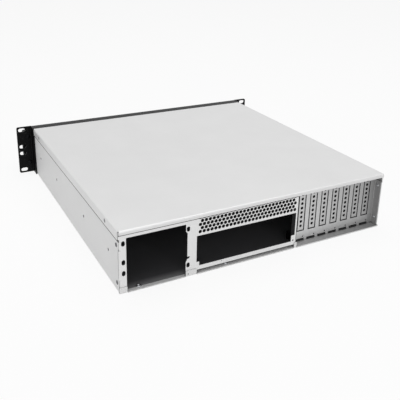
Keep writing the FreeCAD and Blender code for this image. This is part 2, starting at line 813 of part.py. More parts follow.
# The crossbar under the lid's front edge and the front panel's top
def make_front_crossbar():
    body = new_body("front_crossbar")
    tab = wall_inside - lap
    near = front + 5.0
    far = front + size("front_return") + 15.0
    path = [(tab, lid_under - 16.0), (tab, lid_under), (-tab, lid_under),
            (-tab, lid_under - 16.0)]
    pad(body, "bar_fold", "XZ", folded(path, steel, bend), near + 4.0, far - 4.0)
    channel = [(far, lid_under - 8.0), (far, lid_under), (near, lid_under),
               (near, lid_under - 8.0)]
    half = tab - bend - steel - size("floor_lip_relief")
    pad(body, "bar_channel", "YZ", folded(channel, steel, bend), -half, half)
    return body


# The drive cage: a hat-shaped sheet over both bays, and the shelf between them
def make_drive_cage():
    body = new_body("drive_cage")
    foot = size("cage_foot") + steel
    crown = floor_top + size("cage_height")
    path = [(cage_right - foot, floor_top), (cage_right, floor_top), (cage_right, crown),
            (cage_left, crown), (cage_left, floor_top), (cage_left + foot, floor_top)]
    back = cage_front + size("cage_depth")
    pad(body, "cage_fold", "XZ", folded(path, steel, bend), cage_front, back,
        "sizes.cage_depth")
    holes = [hole(x, y, with_gap(size("small_screw"))) for x, y in cage_feet]
    cut(body, "cage_foot_holes", "XY", sum(holes, []), 0, floor_top + steel + 1)
    windows = []
    for y in (0.3, 0.7):
        middle = cage_front + y * size("cage_depth")
        windows += oblong((middle - 14.0, 55.0), (middle + 14.0, 55.0), 4.0)
    cut(body, "cage_windows", "YZ", windows)
    return body


def make_drive_shelf():
    body = new_body("drive_shelf")
    level = size("shelf_level")
    side_left = cage_left - lap
    side_right = cage_right + lap
    path = [(side_left, level - 8.0), (side_left, level), (side_right, level),
            (side_right, level - 8.0)]
    pad(body, "shelf_fold", "XZ", folded(path, steel, bend), cage_front + 4.0,
        cage_front + size("cage_depth") - 1.0)
    return body


# A bay cover: a plate with two sprung arms that hook behind the front panel
def make_bay_cover(name, width, height, base):
    body = new_body(name)
    gap = size("button_gap")
    middle = size("bay_middle")
    half = width / 2 - gap
    pad(body, "bay_plate", "XZ",
        rectangle(middle - half, base + gap, middle + half, base + height - gap, 0.8),
        front - 0.3, front + 2.0)
    arm = height / 3
    for side in (-1, 1):
        x = middle + side * half
        hook = [(x, front + 1.0), (x, front + steel + lap),
                (x + side * 1.0, front + steel + lap), (x + side * 1.0, front + 2.6),
                (x, front + 5.0), (x, front + 14.0), (x - side * 1.6, front + 14.0),
                (x - side * 1.6, front + 1.0)]
        pad(body, "arm_left" if side > 0 else "arm_right", "XY", outline(hook),
            base + arm, base + 2 * arm)
    return body


# The switch board stands on a folded bracket behind the front panel
def make_control_bracket():
    body = new_body("control_bracket")
    middle = size("control_middle")
    seat = board_back + lap
    depth = 8.0
    wing = size("board_width") / 2 - lap
    waist = wing - 6.5
    behind = seat + steel
    path = [(middle + wing, behind), (middle + waist, behind),
            (middle + waist, behind + depth), (middle - waist, behind + depth),
            (middle - waist, behind), (middle - wing, behind)]
    pad(body, "bracket_fold", "XY", folded(path, steel, bend),
        floor_top + 4.0, middle_height + size("board_height") / 2)
    face = seat + depth
    foot_path = [(face, middle_height), (face, floor_top), (face + 22.0, floor_top)]
    pad(body, "bracket_foot", "YZ", folded(foot_path, steel, bend),
        middle - waist + 3.0, middle + waist - 3.0)
    holes = [hole(x, z, with_gap(size("small_screw"))) for x, z in board_screw_places]
    cut(body, "board_screw_holes", "XZ", sum(holes, []), seat - 1, seat + 3)
    holes = [hole(x, y, with_gap(size("small_screw"))) for x, y in bracket_foot]
    cut(body, "foot_screw_holes", "XY", sum(holes, []), 0, floor_top + steel + 1)
    return body


def make_switch_board():
    body = new_body("switch_board")
    middle = size("control_middle")
    half = size("board_width") / 2
    rise = size("board_height") / 2
    pad(body, "board_plate", "XZ",
        rectangle(middle - half, middle_height - rise, middle + half, middle_height + rise),
        board_face, board_back, "sizes.board_sheet")
    holes = [hole(x, z, with_gap(size("small_screw"))) for x, z in board_screw_places]
    cut(body, "board_holes", "XZ", sum(holes, []))
    return body


# A push switch with a bore for the button's stem
def make_switch(name, level, width):
    body = new_body(name)
    middle = size("control_middle")
    near = front + steel + 3.4
    half = width / 2
    pad(body, "switch_case", "XZ",
        rectangle(middle - half, level - half, middle + half, level + half),
        near, board_face - lap)
    cut(body, "switch_bore", "XZ", hole(middle, level, size("stem_width") + 0.6, 8),
        near - 1, near + 5.4)
    return body


def make_button(name, level, width):
    body = new_body(name)
    middle = size("control_middle")
    collar = front + steel + size("button_gap")
    crown = front - size("button_proud")
    cap = pad(body, "button_cap", "XZ", disc(middle, level, width, 16), crown, collar + 0.5)
    dress(body, "Chamfer", "button_edge", cap,
          lambda edge: all(same(vertex.Y, crown) for vertex in edge.Vertexes), 0.4)
    pad(body, "button_collar", "XZ", disc(middle, level, width + 2.4), collar, collar + 1.0)
    pad(body, "button_stem", "XZ", disc(middle, level, size("stem_width"), 8),
        collar + 0.5, collar + 6.0)
    return body


def make_lamp(name, x):
    body = new_body(name)
    width = size("lamp_width")
    crown = front - 0.8
    lens = pad(body, "lens", "XZ", disc(x, size("lamp_level"), width, 8), crown,
               front + steel + 1.0)
    dress(body, "Chamfer", "lens_dome", lens,
          lambda edge: all(same(vertex.Y, crown) for vertex in edge.Vertexes), 0.7)
    pad(body, "lamp_spacer", "XZ", disc(x, size("lamp_level"), width + 1.2, 6),
        front + steel + 0.5, board_face - lap)
    return body


def make_port(name, level):
    body = new_body(name)
    middle = size("control_middle")
    half = size("port_width") / 2
    rise = size("port_height") / 2
    wall = 0.5
    pad(body, "port_shell", "XZ",
        rectangle(middle - half, level - rise, middle + half, level + rise),
        front - 0.3, board_face - lap)
    cut(body, "port_hollow", "XZ",
        rectangle(middle - half + wall, level - rise + wall, middle + half - wall,
                  level + rise - wall), front - 1, front + 8.6)
    pad(body, "port_tongue", "XZ",
        rectangle(middle - half + 1.2, level + 0.1, middle + half - 1.2, level + 1.9),
        front + 0.6, front + 9.0)
    return body


bay_sizes = [
    (size("wide_bay_width"), size("wide_bay_height"), size("wide_bay_base")),
    (size("small_bay_width"), size("small_bay_height"), size("small_bay_base")),
]

nodes = [make_chassis_tray(), make_rear_panel()]
nodes += [make_slot_cover(i, x) for i, x in enumerate(reversed(slots), start=1)]
nodes += [
    make_top_cover(),
    make_front_panel(),
    make_rack_ear("rack_ear_left", 1),
    make_rack_ear("rack_ear_right", -1),
    make_handle("handle_left", 1),
    make_handle("handle_right", -1),
    make_front_crossbar(),
    make_drive_cage(),
    make_drive_shelf(),
    make_bay_cover("bay_cover_upper", *bay_sizes[0]),
    make_bay_cover("bay_cover_lower", *bay_sizes[1]),
    make_control_bracket(),
    make_switch_board(),
    make_switch("power_switch", size("power_level"), 11.0),
    make_switch("reset_switch", size("reset_level"), 7.0),
    make_button("power_button", size("power_level"), size("power_width")),
    make_button("reset_button", size("reset_level"), size("reset_width")),
    make_lamp("power_lamp", lamps[1]),
    make_lamp("drive_lamp", lamps[0]),
    make_port("upper_port", ports[0]),
    make_port("lower_port", ports[1]),
]

# Fasteners: like ones share a node
small = size("small_screw")
large = size("large_screw")
lid_screws = []
ear_screws = []
side_rivets = []
handle_screws = []
for side in (-1, 1):
    inward = (-side, 0, 0)
    for y in lid_screw_places:
        lid_screws.append(flat_screw(small, 5.0, (side * half_body, y, lid_screw_level), inward))
    ear_face = side * (wall_outside + lap + size("ear_steel"))
    for z in ear_screw_levels:
        ear_screws.append(flat_screw(large, 6.5, (ear_face, ear_screw_place, z), inward))
    for z in rivet_levels:
        side_rivets.append(rivet(size("rivet_width"), 2 * steel + lap,
                                 (side * wall_outside, rivet_place, z), inward))
    for z in handle_legs:
        handle_screws.append(pan_screw(
            large, size("ear_steel") + lap + 8.0,
            (side * size("handle_offset"), front + size("ear_steel"), z), (0, -1, 0)))
tab_top = shelf_top + lap + size("cover_steel")
slot_screws = [pan_screw(small, 5.0, (x, slot_screw_place, tab_top), (0, 0, -1))
               for x in slots]
foot_top = floor_top + steel
foot_screws = [pan_screw(small, foot_top - 0.2, (x, y, foot_top), (0, 0, -1))
               for x, y in cage_feet + bracket_foot]
front_screws = [flat_screw(small, 4.0, (x, y, 0), (0, 0, 1)) for x, y in front_screw_places]
board_screws = [pan_screw(small, 4.5, (x, board_face, z), (0, 1, 0))
                for x, z in board_screw_places]

clinch = size("clinch_nut_width")
clinch_nuts = []
for x, y in clinch_places:
    nut = turned(
        [(0, 0.2), (clinch / 2, 0.2), (clinch / 2, steel), (clinch * 0.75, steel),
         (clinch * 0.75, steel + 1.4), (0, steel + 1.4)],
        (x, y, 0), (0, 0, 1), 8)
    clinch_nuts.append(nut.cut(prism(hole(0, 0, clinch * 0.6, 6), 0, top, (x, y, 0))))

standoff_posts = []
for x, y in standoffs:
    crown = floor_top + size("standoff_height")
    wide = size("standoff_width") / 2 / math.cos(math.pi / 6)
    post = turned(
        [(0, 0.2), (small / 2, 0.2), (small / 2, steel), (wide, steel), (wide, crown),
         (0, crown)],
        (x, y, 0), (0, 0, 1))
    bore = Part.makeCylinder(small * 0.42, 7.0, Vector(x, y, crown - 6.0))
    standoff_posts.append(post.cut(bore))

nodes += [
    group("lid_screws", lid_screws),
    group("ear_screws", ear_screws),
    group("handle_screws", handle_screws),
    group("slot_screws", slot_screws),
    group("foot_screws", foot_screws),
    group("front_screws", front_screws),
    group("board_screws", board_screws),
    group("side_rivets", side_rivets),
    group("clinch_nuts", clinch_nuts),
    group("motherboard_standoffs", standoff_posts),
]

doc.recompute()

# Every object must have come out sound before anything is written
for item in doc.Objects:
    if any(state in ("Invalid", "Error") for state in item.State):
        raise RuntimeError(f"{item.Label}: {item.State}")
for node in nodes:
    if node.Shape.isNull() or not node.Shape.isValid():
        raise RuntimeError(f"{node.Label}: its shape isn't sound")

os.makedirs("parts", exist_ok=True)
for node in nodes:
    node.Shape.exportStep(f"parts/{node.Label}.step")
    print(node.Label, len(node.Shape.Solids))
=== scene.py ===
# %% [markdown]
# The object is an empty rackmount server case, two rack units high, seen from behind.
# Its body is folded from zinc-coated steel, and its front, rack ears and handles are black.
# The CAD model brings every sheet with its true folds and openings. This script dresses it:
# it sets up a camera and a light, makes a material for each finish, and builds the fine
# pieces that the CAD model keeps plain, such as screw heads, rivets, handles and buttons.

# %% Load the frame and name a few measures
import math

import bmesh
import bpy
from mathutils import Matrix, Vector


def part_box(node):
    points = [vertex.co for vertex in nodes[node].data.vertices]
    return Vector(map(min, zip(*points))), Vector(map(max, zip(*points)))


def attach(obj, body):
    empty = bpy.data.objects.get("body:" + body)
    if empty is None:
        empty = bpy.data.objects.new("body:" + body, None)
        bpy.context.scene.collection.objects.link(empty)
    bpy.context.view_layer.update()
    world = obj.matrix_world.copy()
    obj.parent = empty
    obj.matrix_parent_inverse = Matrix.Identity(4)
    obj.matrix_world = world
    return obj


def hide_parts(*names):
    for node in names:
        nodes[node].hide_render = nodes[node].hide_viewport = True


MM = 0.001
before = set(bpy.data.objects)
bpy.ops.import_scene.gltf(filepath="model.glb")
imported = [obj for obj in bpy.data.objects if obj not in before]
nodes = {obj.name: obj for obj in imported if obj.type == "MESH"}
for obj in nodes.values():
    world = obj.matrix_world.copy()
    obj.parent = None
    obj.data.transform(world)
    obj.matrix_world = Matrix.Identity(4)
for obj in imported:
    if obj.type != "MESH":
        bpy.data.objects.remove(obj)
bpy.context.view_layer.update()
scene = bpy.context.scene
scene.view_settings.view_transform = "Standard"

steel_mm = 1.2
lid_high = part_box("top_cover")[1]
tray_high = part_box("chassis_tray")[1]
panel_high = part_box("rear_panel")[1]
rear = lid_high.y
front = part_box("front_panel")[0].y
top = lid_high.z
print(f"{len(nodes)} CAD nodes, rear at {rear:.3f} m, front at {front:.3f} m")

# %% [markdown]
# ## The camera
# The photograph was taken from behind and above, with the lens near enough to the case for
# the rear corner to look large. Its upright edges are parallel, which a view camera does by
# shifting its lens. A full shift would push the case out of the frame in every other view, so
# only a small part of it is kept here.

# %% Place the camera at the photograph's viewing angle
azimuth = math.radians(151.98)
pitch = math.radians(19.58)
roll = math.radians(1.18)
photo_width = 400
focal_pixels = 605.5
shift_pixels = 60
camera_place = Vector((433.8 * MM, rear + 618.4 * MM, 439.1 * MM))

look = -Vector((math.sin(azimuth) * math.cos(pitch),
                -math.cos(azimuth) * math.cos(pitch),
                math.sin(pitch)))
right = look.cross(Vector((0, 0, 1))).normalized()
up = right.cross(look)
rolled_right = right * math.cos(roll) + up * math.sin(roll)
rolled_up = up * math.cos(roll) - right * math.sin(roll)

camera_data = bpy.data.cameras.new("camera")
camera_data.sensor_width = 36
camera_data.lens = focal_pixels * camera_data.sensor_width / photo_width
camera_data.shift_y = -shift_pixels / photo_width
camera_data.clip_start = 0.02
camera = bpy.data.objects.new("camera", camera_data)
scene.collection.objects.link(camera)
turn = Matrix((rolled_right, rolled_up, -look)).transposed()
camera.matrix_world = Matrix.Translation(camera_place) @ turn.to_4x4()
scene.camera = camera
print(f"lens {camera_data.lens:.1f} mm, shift {camera_data.shift_y:.2f}")

# %% [markdown]
# ## Colour and node helpers
# Paint and metal colours are picked as sRGB hex values, as on a colour card, but shaders
# work in linear light. One function turns the first into the second. A second function adds
# a node with its settings and its links, to a material's tree or to a geometry tree, so that
# each tree reads as a short list.

# %% Helpers for colours and nodes
def colour(hex_value, shade=1.0):
    """An sRGB hex colour as linear red, green, blue and alpha, darkened by a shade."""
    parts = [int(hex_value[i:i + 2], 16) / 255 for i in (1, 3, 5)]
    linear = [c / 12.92 if c <= 0.04045 else ((c + 0.055) / 1.055) ** 2.4 for c in parts]
    return (*[min(1.0, c * shade) for c in linear], 1.0)


def add(tree, kind, inputs=None, **settings):
    """Adds a node with its settings. An input given as (node, output) is linked to that
    output, one given as a node to its first output, and any other is set."""
    node = tree.nodes.new(kind)
    for name, value in settings.items():
        setattr(node, name, value)
    for name, value in (inputs or {}).items():
        if isinstance(value, bpy.types.Node):
            tree.links.new(value.outputs[0], node.inputs[name])
        elif isinstance(value, tuple) and isinstance(value[0], bpy.types.Node):
            tree.links.new(value[0].outputs[value[1]], node.inputs[name])
        else:
            node.inputs[name].default_value = value
    return node


def chain(tree, operation, *values):
    """Works each value into the one before, as in a product, and gives the last node."""
    result = values[0]
    for value in values[1:]:
        result = add(tree, "ShaderNodeMath", {0: result, 1: value}, operation=operation)
    return result


def new_material(name):
    material = bpy.data.materials.new(name)
    material.use_nodes = True
    material.node_tree.nodes.clear()
    return material, material.node_tree


print("a hex grey of #808080 is", round(colour("#808080")[0], 3), "in linear light")

# %% [markdown]
# ## Floor, backdrop and light
# The photograph is a cut-out on white. A pale floor that is nearly white to the camera keeps
# a little of the case's shadow. Large soft lamps stand in for a studio's light tents: one
# overhead, one beside the case's left wall and one behind its rear panel.

# %% Find the rays that see the white background
def background_rays(tree):
    """1 for rays from the camera, and for those that metal and lenses send on."""
    ray = add(tree, "ShaderNodeLightPath")
    return chain(tree, "MAXIMUM", (ray, "Is Camera Ray"), (ray, "Is Transmission Ray"),
                 (ray, "Is Glossy Ray"))


print("made background_rays, for the floor and the world")

# %% Make the floor
def make_floor(reach, level, whiteness):
    """A square floor. Its whiteness is how much of its own glow those rays see."""
    mesh = bpy.data.meshes.new("floor")
    mesh.from_pydata([(-reach, -reach, level), (reach, -reach, level),
                      (reach, reach, level), (-reach, reach, level)], [], [(0, 1, 2, 3)])
    floor = bpy.data.objects.new("floor", mesh)
    scene.collection.objects.link(floor)
    material, tree = new_material("pale studio floor")
    shader = add(tree, "ShaderNodeBsdfPrincipled", {
        "Base Color": colour("#f8f8f8"), "Roughness": 0.9})
    glow = add(tree, "ShaderNodeEmission", {"Color": (1, 1, 1, 1), "Strength": 1.0})
    seen = chain(tree, "MULTIPLY", background_rays(tree), whiteness)
    mixed = add(tree, "ShaderNodeMixShader", {0: seen, 1: shader, 2: glow})
    add(tree, "ShaderNodeOutputMaterial", {"Surface": mixed})
    mesh.materials.append(material)


floor_level = -0.2 * MM
make_floor(reach=6.0, level=floor_level, whiteness=0.88)
print(f"floor laid at {floor_level / MM:.1f} mm")

# %% Light the world and place the lamps
world = bpy.data.worlds.new("studio")
scene.world = world
world.use_nodes = True
sky = world.node_tree
sky.nodes.clear()
room = add(sky, "ShaderNodeBackground", {"Color": (1, 1, 1, 1), "Strength": 0.4})
white = add(sky, "ShaderNodeBackground", {"Color": (1, 1, 1, 1), "Strength": 1.0})
mixed_sky = add(sky, "ShaderNodeMixShader", {
    0: background_rays(sky), 1: room, 2: white})
add(sky, "ShaderNodeOutputWorld", {"Surface": mixed_sky})


def add_lamp(name, place, width, power):
    data = bpy.data.lights.new(name, "AREA")
    data.shape = "SQUARE"
    data.size = width
    data.energy = power
    lamp = bpy.data.objects.new(name, data)
    scene.collection.objects.link(lamp)
    aim = (Vector((0, 0, 0.04)) - Vector(place)).to_track_quat("-Z", "Y")
    lamp.matrix_world = Matrix.Translation(place) @ aim.to_matrix().to_4x4()


add_lamp("overhead tent", (-0.2, 0.0, 1.9), 2.2, 17)
add_lamp("left tent", (2.1, 0.9, 0.9), 1.6, 7.5)
add_lamp("rear tent", (0.3, 2.5, 1.0), 1.6, 13)
print(f"{len(bpy.data.lights)} lamps")

# %% [markdown]
# ## Zinc-coated sheet steel
# The body is electro-galvanised steel sheet, cut and folded after coating. The zinc gives a
# pale, even, half-matt grey, with a fine grain along the rolling direction and faint clouds
# in the coating. A thin chalky skin of oxide takes away part of the metal's mirror, so the
# shader is only partly metallic. The folds catch a little more light on rounded normals, and
# the corners between sheets are painted darker as shade. Both are found from the shape itself:
# a bevel node rounds the edges that catch the light, and an ambient occlusion node finds the
# corners where the shade is painted.
#
# Every pattern reads Object coordinates in millimetres, so that its scale is a real size.
# Masks are products of comparisons, so one helper makes them from a short list of tests.

# %% Helpers for patterns and masks
def place_in_mm(tree):
    """Object coordinates in millimetres."""
    coordinates = add(tree, "ShaderNodeTexCoord")
    return add(tree, "ShaderNodeVectorMath", {
        0: (coordinates, "Object"), 1: (1000, 1000, 1000)}, operation="MULTIPLY")


def mottled(tree, place, patch_mm, detail, first, second):
    """Two colours mixed by a noise whose patches have a size in millimetres."""
    pattern = add(tree, "ShaderNodeTexNoise", {
        "Vector": place, "Scale": 1 / patch_mm, "Detail": detail})
    return add(tree, "ShaderNodeMix", {
        "Factor": (pattern, "Fac"), 6: first, 7: second}, data_type="RGBA")


def mask(tree, *tests):
    """1 where every test holds. A test is a source, a comparison and its limits."""
    results = [add(tree, "ShaderNodeMath", dict(enumerate([source, *limits])),
                   operation=comparison) for source, comparison, *limits in tests]
    return chain(tree, "MULTIPLY", *results)


print("made place_in_mm, mottled and mask")

# %% [markdown]
# In the photograph the inside of the case is nearly black, and the recess in which the slot
# covers stand is a little darker than the panel beside it. A sheet is one piece with one
# material, so its faces are told apart by their place. A face counts as inside from 0.1 mm
# under a sheet's outer side, which takes in the cut edges of its holes, and at the walls,
# floor and lid from 0.1 mm within the inner side. At the wall of the slots it starts a
# little deeper.
# Both are painted: the inside dark grey as shade, and the recess darker towards its far end as
# shade.

# %% Find the inside of the case and the recess of the slots
slack = 0.1
wall_inner = tray_high.x / MM - steel_mm + slack
floor_inner = steel_mm - slack
lid_inner = top / MM - steel_mm + slack
front_inner = front / MM + steel_mm + slack
panel_outer = panel_high.y / MM
panel_inner = panel_outer - slack
recess_depth = 12.7
slot_inner = panel_outer - recess_depth - 2.5 * slack
recess_edge = -57.0
tab_width, tab_depth = 3.2, 6.0
lit_strip = 4.6


def place_masks(tree, place):
    """The place's axes, its distance from the middle, and masks of the inside and recess."""
    axes = add(tree, "ShaderNodeSeparateXYZ", {0: place})
    side = add(tree, "ShaderNodeMath", {0: (axes, "X")}, operation="ABSOLUTE")
    in_recess = mask(tree, ((axes, "X"), "LESS_THAN", recess_edge))
    wall = add(tree, "ShaderNodeMath", {
        0: in_recess, 1: slot_inner - panel_inner, 2: panel_inner},
        operation="MULTIPLY_ADD")
    between = mask(tree, (side, "LESS_THAN", wall_inner),
                   ((axes, "Z"), "GREATER_THAN", floor_inner),
                   ((axes, "Z"), "LESS_THAN", lid_inner))
    # the folded tabs in the two rear corners show from outside
    corner = mask(tree, (side, "GREATER_THAN", wall_inner - tab_width),
                  ((axes, "Y"), "GREATER_THAN", panel_inner - tab_depth))
    # and so does the floor's rear edge, which stands in the light
    strip = mask(tree, ((axes, "Z"), "LESS_THAN", floor_inner + 2 * slack),
                 ((axes, "Y"), "GREATER_THAN", panel_inner - lit_strip))
    spared = chain(tree, "MAXIMUM", corner, strip)
    elsewhere = chain(tree, "SUBTRACT", 1.0, spared)
    before_wall = mask(tree, ((axes, "Y"), "LESS_THAN", wall),
                       ((axes, "Y"), "GREATER_THAN", front_inner))
    behind_wall = mask(tree, ((axes, "Y"), "GREATER_THAN", wall),
                       ((axes, "Y"), "LESS_THAN", panel_outer + 0.5))
    inside = chain(tree, "MULTIPLY", between, elsewhere, before_wall)
    recess = chain(tree, "MULTIPLY", between, in_recess, behind_wall)
    return axes, side, inside, recess


print(f"the wall of the slots stands {recess_depth} mm inside the panel")

# %% [markdown]
# Dark lines are what the eye reads as separate sheets. Each slot has a cut line round it and
# a slit at its foot for the cover's tongue, and the shade in these gaps is painted as dark
# lines. The lid's flanges end over the tray's walls and leave a shadowed joint, whose shadow
# is painted, and shade is painted on the cut walls of the rails' holes in the walls. Such
# lines are finer than the shadows of a small picture, so masks paint them: the slots repeat
# along X, so one wrap of the place draws all seven.

# %% Paint the shade of the slots and the shadows of the seams
slot_middle = -133.8
slot_pitch = 20.32
half_slot_row = 70.0
slot_base = 17.0
# from a slot's middle line: the cut line, how far it reaches either way, and the slit's end
cut_line, cut_reach, slit_end = 5.9, 0.9, 7.6
slit_top, slit_reach = 4.4, 1.6
side_seam = top / MM - 11.6
rear_seam = top / MM - 5.4
seam_reach = 1.75
rail_hole_height = 44.0


def slot_shade_lines(tree, axes, recess):
    """Painted shade: the dark cut line round each slot, and the open slit at its foot."""
    offset = chain(tree, "SUBTRACT", (axes, "X"), slot_middle)
    folded = add(tree, "ShaderNodeMath", {
        0: offset, 1: slot_pitch / 2, 2: -slot_pitch / 2}, operation="WRAP")
    across = add(tree, "ShaderNodeMath", {0: folded}, operation="ABSOLUTE")
    # painted shade over the punch's 1 mm of gap and 0.4 mm of edge on each side of it
    flank = mask(tree, (across, "COMPARE", cut_line, cut_reach),
                 ((axes, "Z"), "GREATER_THAN", slot_base - 0.4))
    foot = mask(tree, (across, "LESS_THAN", cut_line + cut_reach),
                ((axes, "Z"), "COMPARE", slot_base + 0.35, 0.75))
    slit = mask(tree, (across, "LESS_THAN", slit_end), ((axes, "Z"), "LESS_THAN", slit_top),
                ((axes, "Y"), "COMPARE", slot_inner, slit_reach))
    in_row = mask(tree, (offset, "COMPARE", 0.0, half_slot_row))
    lines = chain(tree, "MAXIMUM", flank, foot, slit)
    return chain(tree, "MULTIPLY", lines, in_row, recess)


def seam_shadow_lines(tree, axes, side):
    """Painted shadows under the lid's flanges, and painted shade on the walls of the rail
    holes.
    """
    flange_shadow_side = mask(tree, ((axes, "Z"), "COMPARE", side_seam - seam_reach, seam_reach),
                     (side, "GREATER_THAN", wall_inner),
                     (side, "LESS_THAN", tray_high.x / MM + slack))
    flange_shadow_rear = mask(tree, ((axes, "Z"), "COMPARE", rear_seam - 0.8, 0.8),
                     ((axes, "Y"), "COMPARE", panel_outer, slack))
    # a hole's wall lies within the sheet's thickness, clear of both its sides
    sheet_middle = tray_high.x / MM - steel_mm / 2
    hole_wall_shade = mask(tree, ((axes, "Z"), "COMPARE", rail_hole_height, 3.0),
                      (side, "COMPARE", sheet_middle, steel_mm / 2 - slack),
                      ((axes, "Y"), "LESS_THAN", panel_inner - 8))
    return chain(tree, "MAXIMUM", flange_shadow_side, flange_shadow_rear, hole_wall_shade)


print(f"side seam {side_seam:.1f} mm up, rear seam {rear_seam:.1f} mm up")

# %% [markdown]
# The colour starts with the coating's faint clouds and is darkened by painted shade: in
# corners, along lines, in the recess and inside. The inside is painted a dull dark grey as
# shade, and only the floor near the rear openings is painted lighter, as the light that comes
# in there.

# %% Colour the sheet by its place
def sheet_colour(tree, place, hex_value, recess_shades):
    """The zinc's colour with painted shade and painted light, and the masks of the inside and
    of the recess.
    """
    # clouds in the coating, about 60 mm across
    tone = mottled(tree, place, 60, 3.0, colour(hex_value, 0.96), colour(hex_value, 1.03))
    # painted shade: corners between sheets are darker over about 3 mm, and gaps are nearly
    # black
    corner = add(tree, "ShaderNodeAmbientOcclusion", {"Distance": 3 * MM}, samples=8)
    occlusion_shade = add(tree, "ShaderNodeMapRange", {
        0: (corner, "AO"), 1: 0.15, 2: 0.65, 3: 0.05, 4: 1.0})
    axes, side, inside, recess = place_masks(tree, place)
    slot_shade_factor = add(tree, "ShaderNodeMapRange", {
        0: slot_shade_lines(tree, axes, recess), 3: 1.0, 4: 0.06})
    seam_shadow_factor = add(tree, "ShaderNodeMapRange", {
        0: seam_shadow_lines(tree, axes, side), 3: 1.0, 4: 0.16})
    # painted shade in the recess, darkest at its far end
    recess_shade_ramp = add(tree, "ShaderNodeMapRange", {
        0: (axes, "X"), 1: recess_edge, 2: -wall_inner, 3: recess_shades[0],
        4: recess_shades[1]})
    painted_recess_shade = add(tree, "ShaderNodeMix", {
        "Factor": recess, "A": 1.0, "B": recess_shade_ramp}, data_type="FLOAT")
    shade = chain(tree, "MULTIPLY", occlusion_shade, painted_recess_shade, slot_shade_factor, seam_shadow_factor)
    tone_with_painted_shade = add(tree, "ShaderNodeMix", {
        "Factor": 1.0, 6: (tone, 2), 7: shade}, data_type="RGBA",
        blend_type="MULTIPLY")
    # the floor's light begins 20 mm in from the rear and is full 6 mm from it
    on_floor = mask(tree, ((axes, "Z"), "LESS_THAN", floor_inner + 2 * slack))
    near_rear = add(tree, "ShaderNodeMapRange", {
        0: (axes, "Y"), 1: rear / MM - 20, 2: rear / MM - 6, 3: 0.0, 4: 0.2})
    kept_light = chain(tree, "MULTIPLY", on_floor, near_rear)
    lost_light = chain(tree, "SUBTRACT", 1.0, kept_light)
    darkness = chain(tree, "MULTIPLY", inside, lost_light)
    # the inside is painted dark grey as shade, and the floor near the rear lighter as painted
    # light
    painted = add(tree, "ShaderNodeMix", {
        "Factor": darkness, 6: (tone_with_painted_shade, 2), 7: colour("#48484a")}, data_type="RGBA")
    return painted, inside, recess


print("made sheet_colour")

# %% Make the zinc-coated steel
def zinc_steel(name, hex_value, grain_turn=0.0, roughness=0.42, metal=0.45,
               recess_shades=(0.88, 0.45), recess_roughness=0.4):
    material, tree = new_material(name)
    place = place_in_mm(tree)
    # rolling lines about 0.8 mm apart, drawn out fifty times along the sheet
    along = add(tree, "ShaderNodeMapping", {
        "Vector": place, "Rotation": (0, 0, grain_turn), "Scale": (1.0, 0.02, 1.0)})
    grain = add(tree, "ShaderNodeTexNoise", {
        "Vector": along, "Scale": 1 / 0.8, "Detail": 4.0, "Roughness": 0.6})
    painted, inside, recess = sheet_colour(tree, place, hex_value, recess_shades)
    metallic = add(tree, "ShaderNodeMapRange", {0: inside, 3: metal, 4: 0.0})
    grained = add(tree, "ShaderNodeMapRange", {
        0: (grain, "Fac"), 1: 0.3, 2: 0.7, 3: roughness - 0.04, 4: roughness + 0.06})
    wiped = add(tree, "ShaderNodeMix", {
        "Factor": recess, "A": grained, "B": recess_roughness},
        data_type="FLOAT")
    rough = add(tree, "ShaderNodeMix", {
        "Factor": inside, "A": wiped, "B": 1.0}, data_type="FLOAT")
    edge = add(tree, "ShaderNodeBevel", {"Radius": 0.35 * MM}, samples=4)
    bump = add(tree, "ShaderNodeBump", {
        "Height": (grain, "Fac"), "Strength": 0.06, "Distance": 0.05 * MM,
        "Normal": edge})
    shader = add(tree, "ShaderNodeBsdfPrincipled", {
        "Base Color": (painted, 2), "Metallic": metallic, "Roughness": rough,
        "Normal": bump, "Specular IOR Level": 0.15})
    add(tree, "ShaderNodeOutputMaterial", {"Surface": shader})
    return material


lid_steel = zinc_steel("zinc-coated steel lid", "#dfdfdf")
# the tray's grain runs the other way, it is rougher and less metallic, and its recess has the
# darkest painted shade
tray_steel = zinc_steel("zinc-coated steel tray", "#e5e5e5", grain_turn=math.pi / 2,
                        roughness=0.5, metal=0.2, recess_shades=(0.56, 0.4),
                        recess_roughness=0.16)
panel_steel = zinc_steel("zinc-coated steel rear panel", "#e6e6e6")
cover_steel = zinc_steel("zinc-coated steel slot covers", "#e0e0e0", roughness=0.38)
print(f"zinc-coated steel: {len(lid_steel.node_tree.nodes)} nodes")

# %% [markdown]
# ## Black powder coat
# The front panel, the ears and the handles are powder-coated: charged powder is blown on and
# melted in an oven. It leaves a deep black skin with a fine orange-peel texture and a soft
# sheen. Where hands and rack rails rub it, the outer edges turn a little greyer.

